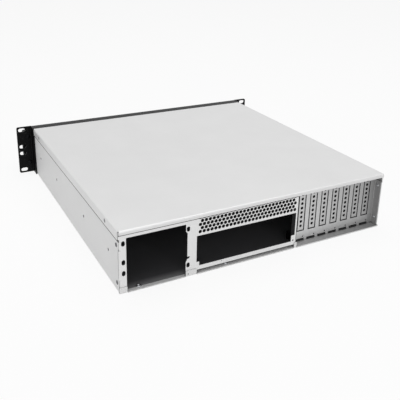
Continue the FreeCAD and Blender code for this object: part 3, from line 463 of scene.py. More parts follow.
# %% Make the black powder coat
def powder_coat(name, hex_value, worn_hex, roughness=0.42):
    material, tree = new_material(name)
    place = place_in_mm(tree)
    # orange peel, about 0.7 mm from crest to crest
    peel = add(tree, "ShaderNodeTexNoise", {
        "Vector": place, "Scale": 1 / 0.7, "Detail": 2.0})
    # rubbed patches, about 14 mm across
    patch = add(tree, "ShaderNodeTexNoise", {
        "Vector": place, "Scale": 1 / 14, "Detail": 4.0})
    # an edge shows where the rounded normal leaves the true one
    edge = add(tree, "ShaderNodeBevel", {"Radius": 0.5 * MM}, samples=4)
    true_normal = add(tree, "ShaderNodeNewGeometry")
    likeness = add(tree, "ShaderNodeVectorMath", {
        0: edge, 1: (true_normal, "Normal")}, operation="DOT_PRODUCT")
    rubbed = add(tree, "ShaderNodeMapRange", {
        0: (likeness, "Value"), 1: 0.97, 2: 0.75, 3: 0.0, 4: 0.6})
    wear = chain(tree, "MULTIPLY", rubbed, (patch, "Fac"))
    tone = add(tree, "ShaderNodeMix", {
        "Factor": wear, 6: colour(hex_value), 7: colour(worn_hex)}, data_type="RGBA")
    rough = add(tree, "ShaderNodeMapRange", {
        0: (peel, "Fac"), 1: 0.3, 2: 0.7, 3: roughness - 0.05, 4: roughness + 0.08})
    bump = add(tree, "ShaderNodeBump", {
        "Height": (peel, "Fac"), "Strength": 0.2, "Distance": 0.1 * MM,
        "Normal": edge})
    shader = add(tree, "ShaderNodeBsdfPrincipled", {
        "Base Color": (tone, 2), "Roughness": rough, "Normal": bump,
        "Specular IOR Level": 0.12})
    add(tree, "ShaderNodeOutputMaterial", {"Surface": shader})
    return material


black_coat = powder_coat("black powder coat", "#070708", "#2e2e30")
print(f"powder coat: {len(black_coat.node_tree.nodes)} nodes")

# %% [markdown]
# ## Plastics, board, lenses and small metal
# The buttons and bay covers are moulded ABS, whose fine grain is etched into the mould by
# sparks. The switch board is glass-fibre laminate under green solder mask, where the copper
# tracks show through as lighter lines. Screws and rivets are bright zinc-plated steel or
# black-oxide steel, and the port shells are stamped from tin plate.

# %% Make the moulded plastic and the plated metal
def moulded_abs(name, hex_value, lighter_hex):
    material, tree = new_material(name)
    place = place_in_mm(tree)
    # spark-etched grain, about 0.4 mm across
    grain = add(tree, "ShaderNodeTexVoronoi", {"Vector": place, "Scale": 1 / 0.4})
    # handling polishes it in patches of about 25 mm
    tone = mottled(tree, place, 25, 3.0, colour(hex_value), colour(lighter_hex))
    rough = add(tree, "ShaderNodeMapRange", {
        0: (grain, "Distance"), 1: 0.0, 2: 0.8, 3: 0.46, 4: 0.6})
    bump = add(tree, "ShaderNodeBump", {
        "Height": (grain, "Distance"), "Strength": 0.2, "Distance": 0.05 * MM})
    shader = add(tree, "ShaderNodeBsdfPrincipled", {
        "Base Color": (tone, 2), "Roughness": rough, "Normal": bump, "IOR": 1.53,
        "Specular IOR Level": 0.3})
    add(tree, "ShaderNodeOutputMaterial", {"Surface": shader})
    return material


def plated_metal(name, hex_value, roughness):
    material, tree = new_material(name)
    place = place_in_mm(tree)
    # tool marks and tarnish, about 0.5 mm across
    marks = add(tree, "ShaderNodeTexNoise", {
        "Vector": place, "Scale": 1 / 0.5, "Detail": 3.0})
    tone = add(tree, "ShaderNodeMix", {
        "Factor": (marks, "Fac"), 6: colour(hex_value, 0.85), 7: colour(hex_value, 1.1)},
        data_type="RGBA")
    rough = add(tree, "ShaderNodeMapRange", {
        0: (marks, "Fac"), 1: 0.3, 2: 0.7, 3: roughness - 0.05, 4: roughness + 0.07})
    shader = add(tree, "ShaderNodeBsdfPrincipled", {
        "Base Color": (tone, 2), "Metallic": 1.0, "Roughness": rough})
    add(tree, "ShaderNodeOutputMaterial", {"Surface": shader})
    return material


black_abs = moulded_abs("moulded black ABS", "#0b0b0c", "#151516")
bright_zinc = plated_metal("bright zinc plating", "#b9babd", 0.3)
# the lid's screws and the rivets look darker in the photograph than bright zinc
darker_zinc = plated_metal("darker zinc plating", "#6f7073", 0.45)
black_oxide = plated_metal("black oxide steel", "#1d1d1f", 0.4)
tin_plate = plated_metal("tin plate", "#cfd0d2", 0.25)
gold_plate = plated_metal("gold-plated contacts", "#d9a94a", 0.2)
print("one plastic and five plated metals")

# %% Make the board's solder mask and the cast lenses
def solder_mask(name, hex_value):
    material, tree = new_material(name)
    place = place_in_mm(tree)
    # tracks about 1.2 mm apart
    tracks = add(tree, "ShaderNodeTexWave", {
        "Vector": place, "Scale": 1 / (1.2 * 2 * math.pi), "Distortion": 3.0,
        "Detail Scale": 0.3})
    tone = add(tree, "ShaderNodeMix", {
        "Factor": (tracks, "Fac"), 6: colour(hex_value), 7: colour(hex_value, 2.0)},
        data_type="RGBA")
    shader = add(tree, "ShaderNodeBsdfPrincipled", {
        "Base Color": (tone, 2), "Roughness": 0.35, "IOR": 1.55})
    add(tree, "ShaderNodeOutputMaterial", {"Surface": shader})
    return material


def cast_lens(name, hex_value):
    material, tree = new_material(name)
    place = place_in_mm(tree)
    # the diffusing particles cast in the resin cloud it over about 2 mm
    tone = mottled(tree, place, 2.0, 2.0, colour(hex_value, 0.6), colour(hex_value))
    shader = add(tree, "ShaderNodeBsdfPrincipled", {
        "Base Color": (tone, 2), "Roughness": 0.15, "IOR": 1.5, "Transmission Weight": 0.4})
    add(tree, "ShaderNodeOutputMaterial", {"Surface": shader})
    return material


board_mask = solder_mask("green solder mask", "#0f4a26")
green_lens = cast_lens("green cast lens", "#3fae55")
amber_lens = cast_lens("amber cast lens", "#d98a2b")
print("one solder mask and two lenses")

# %% [markdown]
# ## Dressing the CAD nodes
# Each CAD node keeps its own mesh and gets the finish that the real piece has.

# %% Give every CAD node its material
finishes = {
    "chassis_tray": tray_steel,
    "rear_panel": panel_steel,
    "top_cover": lid_steel,
    "front_crossbar": tray_steel,
    "drive_cage": tray_steel,
    "drive_shelf": tray_steel,
    "control_bracket": tray_steel,
    "front_panel": black_coat,
    "rack_ear_left": black_coat,
    "rack_ear_right": black_coat,
    "handle_left": black_coat,
    "handle_right": black_coat,
    "bay_cover_upper": black_abs,
    "bay_cover_lower": black_abs,
    "power_button": black_abs,
    "reset_button": black_abs,
    "power_switch": black_abs,
    "reset_switch": black_abs,
    "switch_board": board_mask,
    "power_lamp": green_lens,
    "drive_lamp": amber_lens,
    "upper_port": tin_plate,
    "lower_port": tin_plate,
    "ear_screws": black_oxide,
    "handle_screws": black_oxide,
    "motherboard_standoffs": black_oxide,
}
for name, node in nodes.items():
    if name.startswith("slot_cover_"):
        finish = cover_steel
    else:
        finish = finishes.get(name, bright_zinc)
    node.data.materials.clear()
    node.data.materials.append(finish)
print(f"{len(bpy.data.materials)} materials on {len(nodes)} nodes")

# %% [markdown]
# ## Where the fasteners sit
# A node of screws is one mesh with several closed pieces. Merging a copy of that mesh and
# walking over its connected faces gives each screw's own box, and so its place. Only the
# direction in which each kind of screw points has to be known.

# %% Find the pieces of a node
def merged_copy(node_name):
    """A copy of a CAD node's mesh, with its loose triangles joined at their corners."""
    work = bmesh.new()
    work.from_mesh(nodes[node_name].data)
    bmesh.ops.remove_doubles(work, verts=work.verts, dist=0.001 * MM)
    return work


def piece_boxes(node_name):
    """The lowest and highest corner of each closed piece in a CAD node."""
    work = merged_copy(node_name)
    left = set(work.verts)
    boxes = []
    while left:
        reached = [left.pop()]
        for vertex in reached:
            for edge in vertex.link_edges:
                other = edge.other_vert(vertex)
                if other in left:
                    left.remove(other)
                    reached.append(other)
        places = [vertex.co for vertex in reached]
        low = Vector([min(p[i] for p in places) for i in range(3)])
        high = Vector([max(p[i] for p in places) for i in range(3)])
        boxes.append((low, high))
    work.free()
    return sorted(boxes, key=lambda box: tuple(round(c, 5) for c in box[0]))


print(f"{len(piece_boxes('lid_screws'))} lid screws found")

# %% [markdown]
# ## Screw and rivet shapes
# A machine screw's head is turned, and its cross recess is pressed in by a tapered punch.
# A lathe does the first: a profile of radius and height is spun round the axis. The punch is
# two crossed wedges, cut out of the head with a boolean. The shapes are made for a head of
# width 1, so that one input can scale them to any size.

# %% Turn a profile
def finished_mesh(name, work):
    """What was built as a mesh whose faces point outwards."""
    bmesh.ops.recalc_face_normals(work, faces=work.faces)
    mesh = bpy.data.meshes.new(name)
    work.to_mesh(mesh)
    work.free()
    return mesh


def lathe(name, profile, sides=24):
    """A closed turned shape. The profile is (radius, height), from axis to axis."""
    work = bmesh.new()
    angles = [2 * math.pi * k / sides for k in range(sides)]
    rings = []
    for radius, height in profile:
        if radius == 0:
            rings.append([work.verts.new((0, 0, height))])
        else:
            rings.append([work.verts.new((radius * math.cos(a), radius * math.sin(a), height))
                          for a in angles])
    for ring, after in zip(rings, rings[1:]):
        for k in range(sides):
            following = (k + 1) % sides
            if len(ring) == 1:
                work.faces.new((ring[0], after[k], after[following]))
            elif len(after) == 1:
                work.faces.new((ring[following], ring[k], after[0]))
            else:
                work.faces.new((ring[following], ring[k], after[k], after[following]))
    return finished_mesh(name, work)


print("made finished_mesh and lathe")

# %% Press a cross recess
def cross_punch(reach, thickness, depth, base):
    """Two crossed wedges that narrow downwards from a height above the head."""
    work = bmesh.new()
    for turned in (False, True):
        corners = []
        for height, narrow in ((base + 0.2, 1.0), (base - depth, 0.45)):
            for u, v in ((-1, -1), (1, -1), (1, 1), (-1, 1)):
                x, y = u * reach * narrow, v * thickness * (0.6 + 0.4 * narrow)
                corners.append(work.verts.new((y, x, height) if turned else (x, y, height)))
        upper, lower = corners[:4], corners[4:]
        work.faces.new(upper)
        work.faces.new(lower[::-1])
        for k in range(4):
            work.faces.new((upper[k], lower[k], lower[(k + 1) % 4], upper[(k + 1) % 4]))
    return finished_mesh("cross punch", work)


def baked(mesh_object):
    """The object's mesh with its modifiers worked in. The modifiers are then removed."""
    bpy.context.view_layer.update()
    graph = bpy.context.evaluated_depsgraph_get()
    mesh = bpy.data.meshes.new_from_object(mesh_object.evaluated_get(graph))
    mesh_object.modifiers.clear()
    return mesh


def cut(piece, punch):
    """Takes a punch's shape out of a piece."""
    modifier = piece.modifiers.new("cut", "BOOLEAN")
    modifier.object = punch
    modifier.solver = "EXACT"
    piece.data = baked(piece)


def pressed_head(name, profile, recess_base=None):
    """A turned fastener with its axis up, the base of its head at the origin and, at a
    given height, a cross recess in its top."""
    screw = bpy.data.objects.new(name, lathe(name, profile))
    if recess_base is not None:
        punch = bpy.data.objects.new("punch", cross_punch(0.3, 0.055, 0.24, recess_base))
        for part in (screw, punch):
            scene.collection.objects.link(part)
        cut(screw, punch)
        bpy.data.objects.remove(punch)
        scene.collection.objects.unlink(screw)
    return screw


print("made cross_punch, baked, cut and pressed_head")

# %% Shape the heads
def pan_profile(shank):
    """A pan head on a shank of a given length."""
    return [(0, -shank), (0.27, -shank), (0.27, 0), (0.5, 0), (0.5, 0.1), (0.47, 0.2),
            (0.38, 0.28), (0.22, 0.31), (0, 0.32)]


# heights and radii are fractions of the head's width
pan_head = pressed_head("pan head", pan_profile(1.1), 0.32)
short_pan_head = pressed_head("short pan head", pan_profile(0.28), 0.32)
flat_head = pressed_head("flat head", [
    (0, -0.95), (0.27, -0.95), (0.27, -0.22), (0.49, -0.02), (0.5, 0), (0, 0)], 0.0)
rivet_head = pressed_head("rivet head", [
    (0, -0.42), (0.27, -0.42), (0.27, 0), (0.5, 0), (0.49, 0.06), (0.42, 0.13), (0.3, 0.16),
    (0.18, 0.16), (0.16, 0.1), (0, 0.1)])
rivet_tail = pressed_head("rivet tail", [
    (0, -0.1), (0.3, -0.1), (0.3, 0), (0.5, 0), (0.48, 0.16), (0.36, 0.3), (0.2, 0.34),
    (0.17, 0.2), (0, 0.2)])
print(f"pan head: {len(pan_head.data.polygons)} faces")

# %% [markdown]
# ## Placing the fasteners with Geometry Nodes
# Screws repeat, so one geometry tree places them all. Each kind of screw gets a mesh of
# bare points, with a vector on each that says where its head faces. The tree puts a copy of
# the screw on every point, turns it to that vector, scales it to the head's width and spins
# it by a random angle, because no two screws are driven to the same stop.

# %% Helpers for geometry trees and finished pieces
def open_tree(name, sockets):
    """A geometry tree with its inputs, and the node that brings them in."""
    tree = bpy.data.node_groups.new(name, "GeometryNodeTree")
    for socket, kind in (("Geometry", "Geometry"), *sockets, ("Finish", "Material")):
        tree.interface.new_socket(name=socket, in_out="INPUT",
                                  socket_type="NodeSocket" + kind)
    tree.interface.new_socket(name="Geometry", in_out="OUTPUT",
                              socket_type="NodeSocketGeometry")
    return tree, add(tree, "NodeGroupInput")


def close_tree(tree, given, shape):
    """Turns what a tree placed into real mesh with its finish, and gives the tree."""
    real = add(tree, "GeometryNodeRealizeInstances", {"Geometry": shape})
    coated = add(tree, "GeometryNodeSetMaterial", {
        "Geometry": real, "Material": (given, "Finish")})
    add(tree, "NodeGroupOutput", {"Geometry": coated})
    return tree


def run_tree(name, mesh, tree, finish, values, ease=None):
    """A piece that a tree makes from a mesh. Its edges are eased by a bevel, if asked."""
    piece = bpy.data.objects.new(name, mesh)
    scene.collection.objects.link(piece)
    modifier = piece.modifiers.new(tree.name, "NODES")
    modifier.node_group = tree
    values = {**values, "Finish": finish}
    # a modifier keeps its inputs under their sockets' identifiers
    for item in tree.interface.items_tree:
        if item.in_out == "INPUT" and item.name in values:
            modifier[item.identifier] = values[item.name]
    if ease:
        rounding = piece.modifiers.new("ease", "BEVEL")
        rounding.width = ease
        rounding.segments = 2
    piece.data = baked(piece)
    piece.data.materials.clear()
    piece.data.materials.append(finish)
    return piece


def hand_over(piece, body, node=None):
    """Says which body a piece rides on, and the CAD node it takes the place of."""
    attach(piece, body)
    if node:
        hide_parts(node)


print("made open_tree, close_tree, run_tree and hand_over")

# %% Build the fastener tree
def fastener_tree():
    tree, given = open_tree("placed fasteners", (
        ("Fastener", "Object"), ("Head Width", "Float"), ("Seed", "Int")))
    facing = add(tree, "GeometryNodeInputNamedAttribute", {"Name": "facing"},
                 data_type="FLOAT_VECTOR")
    aim = add(tree, "FunctionNodeAlignRotationToVector", {"Vector": facing}, axis="Z")
    shape = add(tree, "GeometryNodeObjectInfo", {"Object": (given, "Fastener")})
    width = add(tree, "ShaderNodeCombineXYZ", {k: (given, "Head Width") for k in range(3)})
    placed = add(tree, "GeometryNodeInstanceOnPoints", {
        "Points": (given, "Geometry"), "Instance": (shape, "Geometry"),
        "Rotation": aim, "Scale": width})
    stop = add(tree, "FunctionNodeRandomValue", {
        2: 0.0, 3: 2 * math.pi, "Seed": (given, "Seed")})
    spin = add(tree, "ShaderNodeCombineXYZ", {2: (stop, 1)})
    driven = add(tree, "GeometryNodeRotateInstances", {
        "Instances": placed, "Rotation": spin})
    return close_tree(tree, given, driven)


fasteners = fastener_tree()
print(f"fastener tree: {len(fasteners.nodes)} nodes")

# %% Place every screw
def place_fasteners(name, places, shape, head_width, seed, finish, node=None):
    """One piece of like fasteners. Places are (point, facing) pairs."""
    mesh = bpy.data.meshes.new(name)
    mesh.from_pydata([tuple(point) for point, facing in places], [], [])
    facings = mesh.attributes.new("facing", "FLOAT_VECTOR", "POINT")
    for row, (point, facing) in zip(facings.data, places):
        row.vector = facing
    piece = run_tree(name, mesh, fasteners, finish, {
        "Fastener": shape, "Head Width": head_width, "Seed": seed})
    piece.data.shade_flat()
    hand_over(piece, "case", node)
    return piece


def end_place(box, axis, way, seat):
    """A point that is seated in from a box's end along an axis, and the way out of it."""
    facing = Vector((0, 0, 0))
    facing[axis] = way
    middle = (box[0] + box[1]) / 2
    middle[axis] = box[1][axis] if way > 0 else box[0][axis]
    return middle - facing * seat, facing


def outward_places(node, axis, seat, way=None):
    """A place on each of a node's pieces. With no way given, it faces from the middle."""
    places = []
    for box in piece_boxes(node):
        outward = 1 if box[0][axis] + box[1][axis] > 0 else -1
        places.append(end_place(box, axis, way or outward, seat))
    return places


small_pan = 5.6 * MM
large_pan = 7.4 * MM
small_seat = 1.8 * MM
large_seat = 2.4 * MM
small_flat = 5.1 * MM
large_flat = 6.8 * MM
x_axis, y_axis, z_axis = range(3)
# node, shape, width, seed, finish, slot, axis, seat and way
screw_kinds = (
    ("lid_screws", flat_head, small_flat, 3, darker_zinc, "bright_steel", x_axis, 0, None),
    ("ear_screws", flat_head, large_flat, 5, black_oxide, "black_screw", x_axis, 0, None),
    ("front_screws", flat_head, small_flat, 7, bright_zinc, "bright_steel", z_axis, 0, -1),
    ("handle_screws", pan_head, large_pan, 9, black_oxide, "black_screw", y_axis,
     large_seat, 1),
    ("slot_screws", pan_head, small_pan, 11, bright_zinc, "bright_steel", z_axis,
     small_seat, 1),
    ("foot_screws", short_pan_head, small_pan, 13, bright_zinc, "bright_steel", z_axis,
     small_seat, 1),
    ("board_screws", pan_head, small_pan, 15, bright_zinc, "bright_steel", y_axis,
     small_seat, -1),
)
for node, shape, width, seed, finish, slot, axis, seat, way in screw_kinds:
    place_fasteners(node + "_driven", outward_places(node, axis, seat, way), shape, width,
                    seed, finish, node)
print(f"{len(screw_kinds)} kinds of screws driven")

# %% Place both ends of every rivet
place_fasteners("rivet_heads", outward_places("side_rivets", x_axis, 0.5 * MM), rivet_head,
                5.8 * MM, 17, darker_zinc, "side_rivets")
tail_places = [end_place(box, x_axis, -1 if box[0].x > 0 else 1, 1.0 * MM)
               for box in piece_boxes("side_rivets")]
place_fasteners("rivet_tails", tail_places, rivet_tail, 4.6 * MM, 19, bright_zinc)
print(f"{len(tail_places)} rivets set")

# %% [markdown]
# ## The handles
# Each handle is a thick bar with rounded edges, bent twice and painted with the ear. Its
# shape follows a rule: a rounded section that is carried along a path of three straight runs
# with round bends. A geometry tree does that with two fillets and a sweep. The object's own
# mesh is only the path's four corners.

# %% Build the handle tree
def handle_tree():
    tree, given = open_tree("bent bar", (
        ("Width", "Float"), ("Thickness", "Float"), ("Edge Radius", "Float"),
        ("Bend Radius", "Float")))
    path = add(tree, "GeometryNodeMeshToCurve", {"Mesh": (given, "Geometry")})
    bent = add(tree, "GeometryNodeFilletCurve", {
        "Curve": path, "Count": 10, "Radius": (given, "Bend Radius")}, mode="POLY")
    section = add(tree, "GeometryNodeCurvePrimitiveQuadrilateral", {
        "Width": (given, "Thickness"), "Height": (given, "Width")})
    eased = add(tree, "GeometryNodeFilletCurve", {
        "Curve": section, "Count": 5, "Radius": (given, "Edge Radius")}, mode="POLY")
    bar = add(tree, "GeometryNodeCurveToMesh", {
        "Curve": bent, "Profile Curve": eased, "Fill Caps": True})
    return close_tree(tree, given, bar)


bent_bar = handle_tree()
print(f"handle tree: {len(bent_bar.nodes)} nodes")

# %% Sweep both handles
def sweep_handle(node):
    low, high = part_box(node)
    x = (low.x + high.x) / 2
    thickness = 8.0 * MM
    half = thickness / 2
    corners = [(x, high.y, high.z - half), (x, low.y + half, high.z - half),
               (x, low.y + half, low.z + half), (x, high.y, low.z + half)]
    mesh = bpy.data.meshes.new("handle path")
    mesh.from_pydata(corners, [(0, 1), (1, 2), (2, 3)], [])
    handle = run_tree("bent_" + node, mesh, bent_bar, black_coat, {
        "Width": high.x - low.x, "Thickness": thickness, "Edge Radius": 2.6 * MM,
        "Bend Radius": 9.0 * MM})
    work = bmesh.new()
    work.from_mesh(handle.data)
    bmesh.ops.recalc_face_normals(work, faces=work.faces)
    # the bar is smooth, and its two end caps are flat
    for face in work.faces:
        face.smooth = len(face.verts) == 4
    work.to_mesh(handle.data)
    work.free()
    hand_over(handle, "case", node)
    return handle


handles = [sweep_handle("handle_left"), sweep_handle("handle_right")]
print(f"handle: {len(handles[0].data.polygons)} faces")

# %% [markdown]
# ## Punching the holes round
# The CAD model draws the vent's 133 holes, and the slot covers' 56, with six flats, and gives
# the five slots beside the power supply few flats at their ends. On the real case round
# punches make them. The punches stand in a field of rows, and in the vent every second row is
# shifted by half a pitch and is one hole shorter. That is a rule, so a geometry tree lays the
# punches out: a grid, a shift by row, and a punch on every point.

# %% Build the tree that lays out a field of punches
def hole_field_tree():
    tree, given = open_tree("field of punches", (
        ("Punch", "Object"), ("Centre", "Vector"), ("Pitch", "Float"),
        ("Row Pitch", "Float"), ("Columns", "Int"), ("Rows", "Int"), ("Stagger", "Float")))
    index = add(tree, "GeometryNodeInputIndex")
    last_column = chain(tree, "SUBTRACT", (given, "Columns"), 1)
    last_row = chain(tree, "SUBTRACT", (given, "Rows"), 1)
    grid = add(tree, "GeometryNodeMeshGrid", {
        "Size X": chain(tree, "MULTIPLY", last_column, (given, "Pitch")),
        "Size Y": chain(tree, "MULTIPLY", last_row, (given, "Row Pitch")),
        "Vertices X": (given, "Columns"), "Vertices Y": (given, "Rows")})
    row = chain(tree, "MODULO", index, (given, "Rows"))
    share = chain(tree, "DIVIDE", index, (given, "Rows"))
    column = add(tree, "ShaderNodeMath", {0: share}, operation="FLOOR")
    odd_row = chain(tree, "MODULO", row, 2)
    shift = chain(tree, "MULTIPLY", odd_row, (given, "Stagger"), (given, "Pitch"))
    along = add(tree, "ShaderNodeCombineXYZ", {"X": shift})
    moved = add(tree, "GeometryNodeSetPosition", {
        "Geometry": (grid, "Mesh"), "Offset": along})
    # a shifted row loses its last hole
    at_end = mask(tree, (column, "COMPARE", last_column, 0.5))
    field = add(tree, "GeometryNodeDeleteGeometry", {
        "Geometry": moved, "Selection": chain(tree, "MULTIPLY", at_end, shift)},
        domain="POINT")
    stood = add(tree, "GeometryNodeTransform", {
        "Geometry": field, "Translation": (given, "Centre"),
        "Rotation": (math.pi / 2, 0, 0)})
    shape = add(tree, "GeometryNodeObjectInfo", {"Object": (given, "Punch")})
    placed = add(tree, "GeometryNodeInstanceOnPoints", {
        "Points": stood, "Instance": (shape, "Geometry")})
    return close_tree(tree, given, placed)


hole_field = hole_field_tree()
print(f"hole field tree: {len(hole_field.nodes)} nodes")

# %% Shape the punches
def round_punch(name, flats):
    """A round bar along Y, just wide enough to take away a hexagon's six corners."""
    reach = 2.0 * MM
    radius = flats / 2 / math.cos(math.radians(30)) + 0.01 * MM
    mesh = lathe(name, [(0, -reach), (radius, -reach), (radius, reach), (0, reach)])
    mesh.transform(Matrix.Rotation(math.pi / 2, 4, "X"))
    return bpy.data.objects.new(name, mesh)


def slot_punch(centre_x, centre_z, width, length):
    """A prism along Y with two round ends, higher than it is wide."""
    round_steps = 12
    radius = width / 2
    straight = (length - width) / 2
    outline = []
    for end in (1, -1):
        for k in range(round_steps + 1):
            angle = math.pi * k / round_steps + (0 if end > 0 else math.pi)
            outline.append((centre_x + radius * math.cos(angle),
                            centre_z + end * straight + radius * math.sin(angle)))
    work = bmesh.new()
    inner, outer = [[work.verts.new((x, panel_high.y + away, z)) for x, z in outline]
                    for away in (-3 * MM, 1 * MM)]
    work.faces.new(inner)
    work.faces.new(outer[::-1])
    for k in range(len(outline)):
        after = (k + 1) % len(outline)
        work.faces.new((inner[k], inner[after], outer[after], outer[k]))
    return finished_mesh("slot punch", work)


vent_flats, cover_flats = 4.3 * MM, 3.9 * MM
vent_punch = round_punch("vent punch", vent_flats)
cover_punch = round_punch("cover punch", cover_flats)
print(f"{len(vent_punch.data.polygons)} faces on a round punch")

# %% Lay out the punches
vent_pitch, vent_row_pitch = 5.8 * MM, 5.15 * MM
vent_middle, vent_base = 25.3 * MM, 62.3 * MM
vent_rows = 5
panel_punches = run_tree("panel punches", bpy.data.meshes.new("panel punches"), hole_field,
                         panel_steel, {
    "Punch": vent_punch, "Pitch": vent_pitch, "Row Pitch": vent_row_pitch, "Columns": 27,
    "Rows": vent_rows, "Stagger": 0.5,
    "Centre": (vent_middle, panel_high.y - steel_mm * MM / 2,
               vent_base + (vent_rows - 1) / 2 * vent_row_pitch)})
cover_hole_pitch, cover_base = 7.2 * MM, 25.3 * MM
cover_holes = 8
cover_sheet = 1.0 * MM
cover_punches = run_tree("cover punches", bpy.data.meshes.new("cover punches"), hole_field,
                         cover_steel, {
    "Punch": cover_punch, "Pitch": slot_pitch * MM, "Row Pitch": cover_hole_pitch,
    "Columns": 7, "Rows": cover_holes, "Stagger": 0.0,
    "Centre": (slot_middle * MM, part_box("slot_cover_1")[0].y + cover_sheet / 2,
               cover_base + (cover_holes - 1) / 2 * cover_hole_pitch)})
slot_width, slot_length = 4.8 * MM, 7.2 * MM
left_column, right_column = 207.6 * MM, 118.0 * MM
work = bmesh.new()
work.from_mesh(panel_punches.data)
for column, height in ((left_column, 70.0), (left_column, 43.6), (left_column, 28.2),
                       (right_column, 69.8), (right_column, 16.9)):
    work.from_mesh(slot_punch(column, height * MM, slot_width, slot_length))
work.to_mesh(panel_punches.data)
work.free()
print(f"{len(panel_punches.data.polygons)} faces on the panel's punches, "
      f"{len(cover_punches.data.polygons)} on the covers'")

# %% [markdown]
# A merged copy of each sheet is punched by a boolean and takes the place of the plain one.
# The copy is merged first, because a boolean needs a closed surface.

# %% Punch the rear panel and the slot covers
def punched_sheet(node, punches, finish):
    name = node + "_punched"
    work = merged_copy(node)
    mesh = bpy.data.meshes.new(name)
    work.to_mesh(mesh)
    work.free()
    mesh.materials.append(finish)
    sheet = bpy.data.objects.new(name, mesh)
    scene.collection.objects.link(sheet)
    cut(sheet, punches)
    sheet.data.materials.clear()
    sheet.data.materials.append(finish)
    hand_over(sheet, "case", node)
    return sheet


punched_panel = punched_sheet("rear_panel", panel_punches, panel_steel)
punched_covers = [punched_sheet(name, cover_punches, cover_steel)
                  for name in sorted(nodes) if name.startswith("slot_cover_")]
for field in (panel_punches, cover_punches):
    bpy.data.objects.remove(field)
print(f"rear panel: {len(punched_panel.data.polygons)} faces, "
      f"each cover: {len(punched_covers[0].data.polygons)}")

# %% [markdown]
# ## Clinch nuts and standoffs
# A clinch nut is a turned collar that is pressed into the floor sheet. A standoff is a
# six-sided post with a threaded mouth that is countersunk. Both are solids of revolution
# except for the hexagon, so a lathe with six sides makes the post, and one with many sides
# makes the rest. The same geometry tree puts them on the places that the CAD pieces give.

# %% Shape the nut and the standoff
clinch_nut = pressed_head("clinch nut", [
    (0.28, -0.18), (0.33, -0.18), (0.33, 0), (0.5, 0), (0.5, 0.2), (0.46, 0.27),
    (0.3, 0.27), (0.22, 0.2), (0.22, -0.18), (0.28, -0.18)])


def standoff_shape(flats, height):
    """A hexagon post, its mouth and its thread's first turns, and the post's full width."""
    width = flats / math.cos(math.pi / 6)
    top_end = height / width
    post = lathe("post", [(0, 0), (0.5, 0), (0.5, top_end - 0.03), (0.46, top_end),
                          (0.34, top_end)], 6)
    mouth = lathe("mouth", [
        (0.34, top_end), (0.24, top_end - 0.08), (0.22, top_end - 0.12),
        (0.24, top_end - 0.16), (0.22, top_end - 0.2), (0, top_end - 0.6)], 18)
    work = bmesh.new()
    work.from_mesh(post)
    work.from_mesh(mouth)
    rims = [edge for edge in work.edges if edge.is_boundary]
    bmesh.ops.bridge_loops(work, edges=rims)
    return bpy.data.objects.new("standoff", finished_mesh("standoff", work)), width


post_foot = 1.3 * MM
post_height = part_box("motherboard_standoffs")[1].z - post_foot
standoff, post_width = standoff_shape(5.5 * MM, post_height)
print(f"standoff: {post_height / MM:.1f} mm high")

# %% Place the nuts and the standoffs
upward = Vector((0, 0, 1))
nut_seat = 1.25 * MM
nut_places = [(Vector(((low.x + high.x) / 2, (low.y + high.y) / 2, nut_seat)), upward)
              for low, high in piece_boxes("clinch_nuts")]
place_fasteners("pressed_nuts", nut_places, clinch_nut, 6.3 * MM, 23, bright_zinc,
                "clinch_nuts")
post_places = outward_places("motherboard_standoffs", z_axis, post_height, 1)
place_fasteners("threaded_standoffs", post_places, standoff, post_width, 0, black_oxide,
                "motherboard_standoffs")
print(f"{len(nut_places)} nuts, {len(post_places)} standoffs")

# %% [markdown]
# ## Buttons, lamps and ports
# The buttons are moulded caps with a dished face and a rounded rim. The lamps are cast
# domes. Both are solids of revolution about the axis that points out of the front panel, so
# the lathe makes them once more, with smooth shading. Each button rides on its own body,
# because it moves.

# %% Turn the buttons and the lamps
def turned_on_front(name, node, profile, sides, finish, body):
    """A turned piece on the front panel. The profile is (radius, way out) in mm."""
    low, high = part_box(node)
    middle = (low + high) / 2
    mesh = lathe(name, [(radius * MM, out * MM) for radius, out in profile], sides)
    outward = Matrix.Rotation(math.radians(90), 4, "X")
    mesh.transform(Matrix.Translation((middle.x, front, middle.z)) @ outward)
    mesh.shade_smooth()
    mesh.set_sharp_from_angle(angle=math.radians(35))
    mesh.materials.append(finish)
    piece = bpy.data.objects.new(name, mesh)
    scene.collection.objects.link(piece)
    hand_over(piece, body, node)


def button_profile(node):
    """From the stem's end to the dished face, read off the CAD button's own box."""
    low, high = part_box(node)
    collar = (high.x - low.x) / 2 / MM
    cap = collar - 1.2
    proud = (front - low.y) / MM
    stem_end = (front - high.y) / MM
    collar_back = stem_end + 5.0
    return [(0, stem_end), (1.9, stem_end), (1.9, collar_back), (collar, collar_back),
            (collar, collar_back + 1.0), (cap, collar_back + 1.0), (cap, proud - 0.7),
            (cap - 0.15, proud - 0.3), (cap - 0.5, proud - 0.05), (cap - 0.8, proud),
            (cap - 1.1, proud - 0.12), (cap * 0.6, proud - 0.3), (cap * 0.3, proud - 0.38),
            (0, proud - 0.4)]


for node, body in (("power_button", "power_key"), ("reset_button", "reset_key")):
    turned_on_front(node + "_cap", node, button_profile(node), 40, black_abs,
                    body)
for node, finish, slot in (("power_lamp", green_lens, "green_lens"),
                           ("drive_lamp", amber_lens, "amber_lens")):
    low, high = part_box(node)
    flange = (high.x - low.x) / 2 / MM
    lens = flange - 0.6
    proud = (front - low.y) / MM
    behind = (front - high.y) / MM
    turned_on_front(node + "_dome", node, [
        (0, behind), (flange, behind), (flange, -1.7), (lens, -1.7), (lens, proud - 0.8),
        (lens * 0.94, proud - 0.45), (lens * 0.75, proud - 0.17), (lens * 0.45, proud - 0.04),
        (0, proud)], 24, finish, "case")
print("2 buttons and 2 lamps turned")

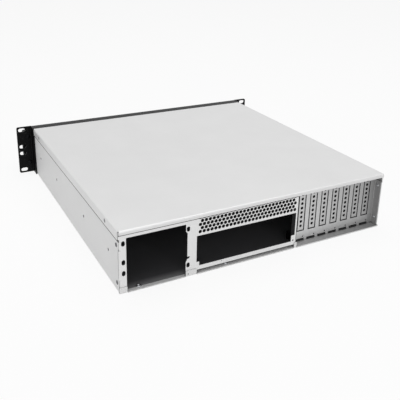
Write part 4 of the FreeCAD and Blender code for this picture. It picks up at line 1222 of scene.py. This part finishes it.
# %% [markdown]
# ## The parts on the switch board
# A row of contacts runs along each port's tongue, and small chips and pin headers stand on
# the switch board. They are many, alike and in rows, so a geometry tree makes each row: a
# line of points with a block on every point. The block is a mesh cube whose size is an
# input, and its edges are eased afterwards by a bevel modifier.

# %% Build the row tree and the rows
def row_tree():
    tree, given = open_tree("row of blocks", (
        ("Start", "Vector"), ("Step", "Vector"), ("Count", "Int"),
        ("Block Size", "Vector")))
    line = add(tree, "GeometryNodeMeshLine", {
        "Count": (given, "Count"), "Start Location": (given, "Start"),
        "Offset": (given, "Step")}, mode="OFFSET")
    block = add(tree, "GeometryNodeMeshCube", {"Size": (given, "Block Size")})
    placed = add(tree, "GeometryNodeInstanceOnPoints", {
        "Points": (line, "Mesh"), "Instance": (block, "Mesh")})
    return close_tree(tree, given, placed)


rows = row_tree()


def make_row(name, start, step, count, block_mm, ease_mm, finish):
    """A row of blocks. The step and the block's sizes are in millimetres."""
    row = run_tree(name, bpy.data.meshes.new(name), rows, finish, {
        "Start": tuple(start), "Step": tuple(s * MM for s in step), "Count": count,
        "Block Size": tuple(s * MM for s in block_mm)}, ease_mm * MM)
    hand_over(row, "case")


for node in ("upper_port", "lower_port"):
    low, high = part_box(node)
    centre = (low + high) / 2
    make_row(node + "_contacts", (centre.x - 3.0 * MM, front + 4.6 * MM, centre.z),
             (2.0, 0, 0), 4, (1.0, 7.0, 0.3), 0.08, gold_plate)
board_low, board_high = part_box("switch_board")
board_x = (board_low.x + board_high.x) / 2
header_z = board_high.z - 3.6 * MM
pin_pitch = 2.54
make_row("header_pins", (board_x - 2 * pin_pitch * MM, board_low.y - 2.6 * MM, header_z),
         (pin_pitch, 0, 0), 5, (0.6, 5.2, 0.6), 0.1, gold_plate)
make_row("header_base", (board_x, board_low.y - 1.2 * MM, header_z), (0, 0, 0), 1,
         (13.0, 2.4, 2.5), 0.2, black_abs)
make_row("board_chips", (board_x - 11.0 * MM, board_low.y - 0.6 * MM,
                         board_low.z + 26.0 * MM), (0, 0, 5.0), 5, (3.2, 1.2, 1.6), 0.12,
         black_abs)
print("contacts, header and chips in rows")
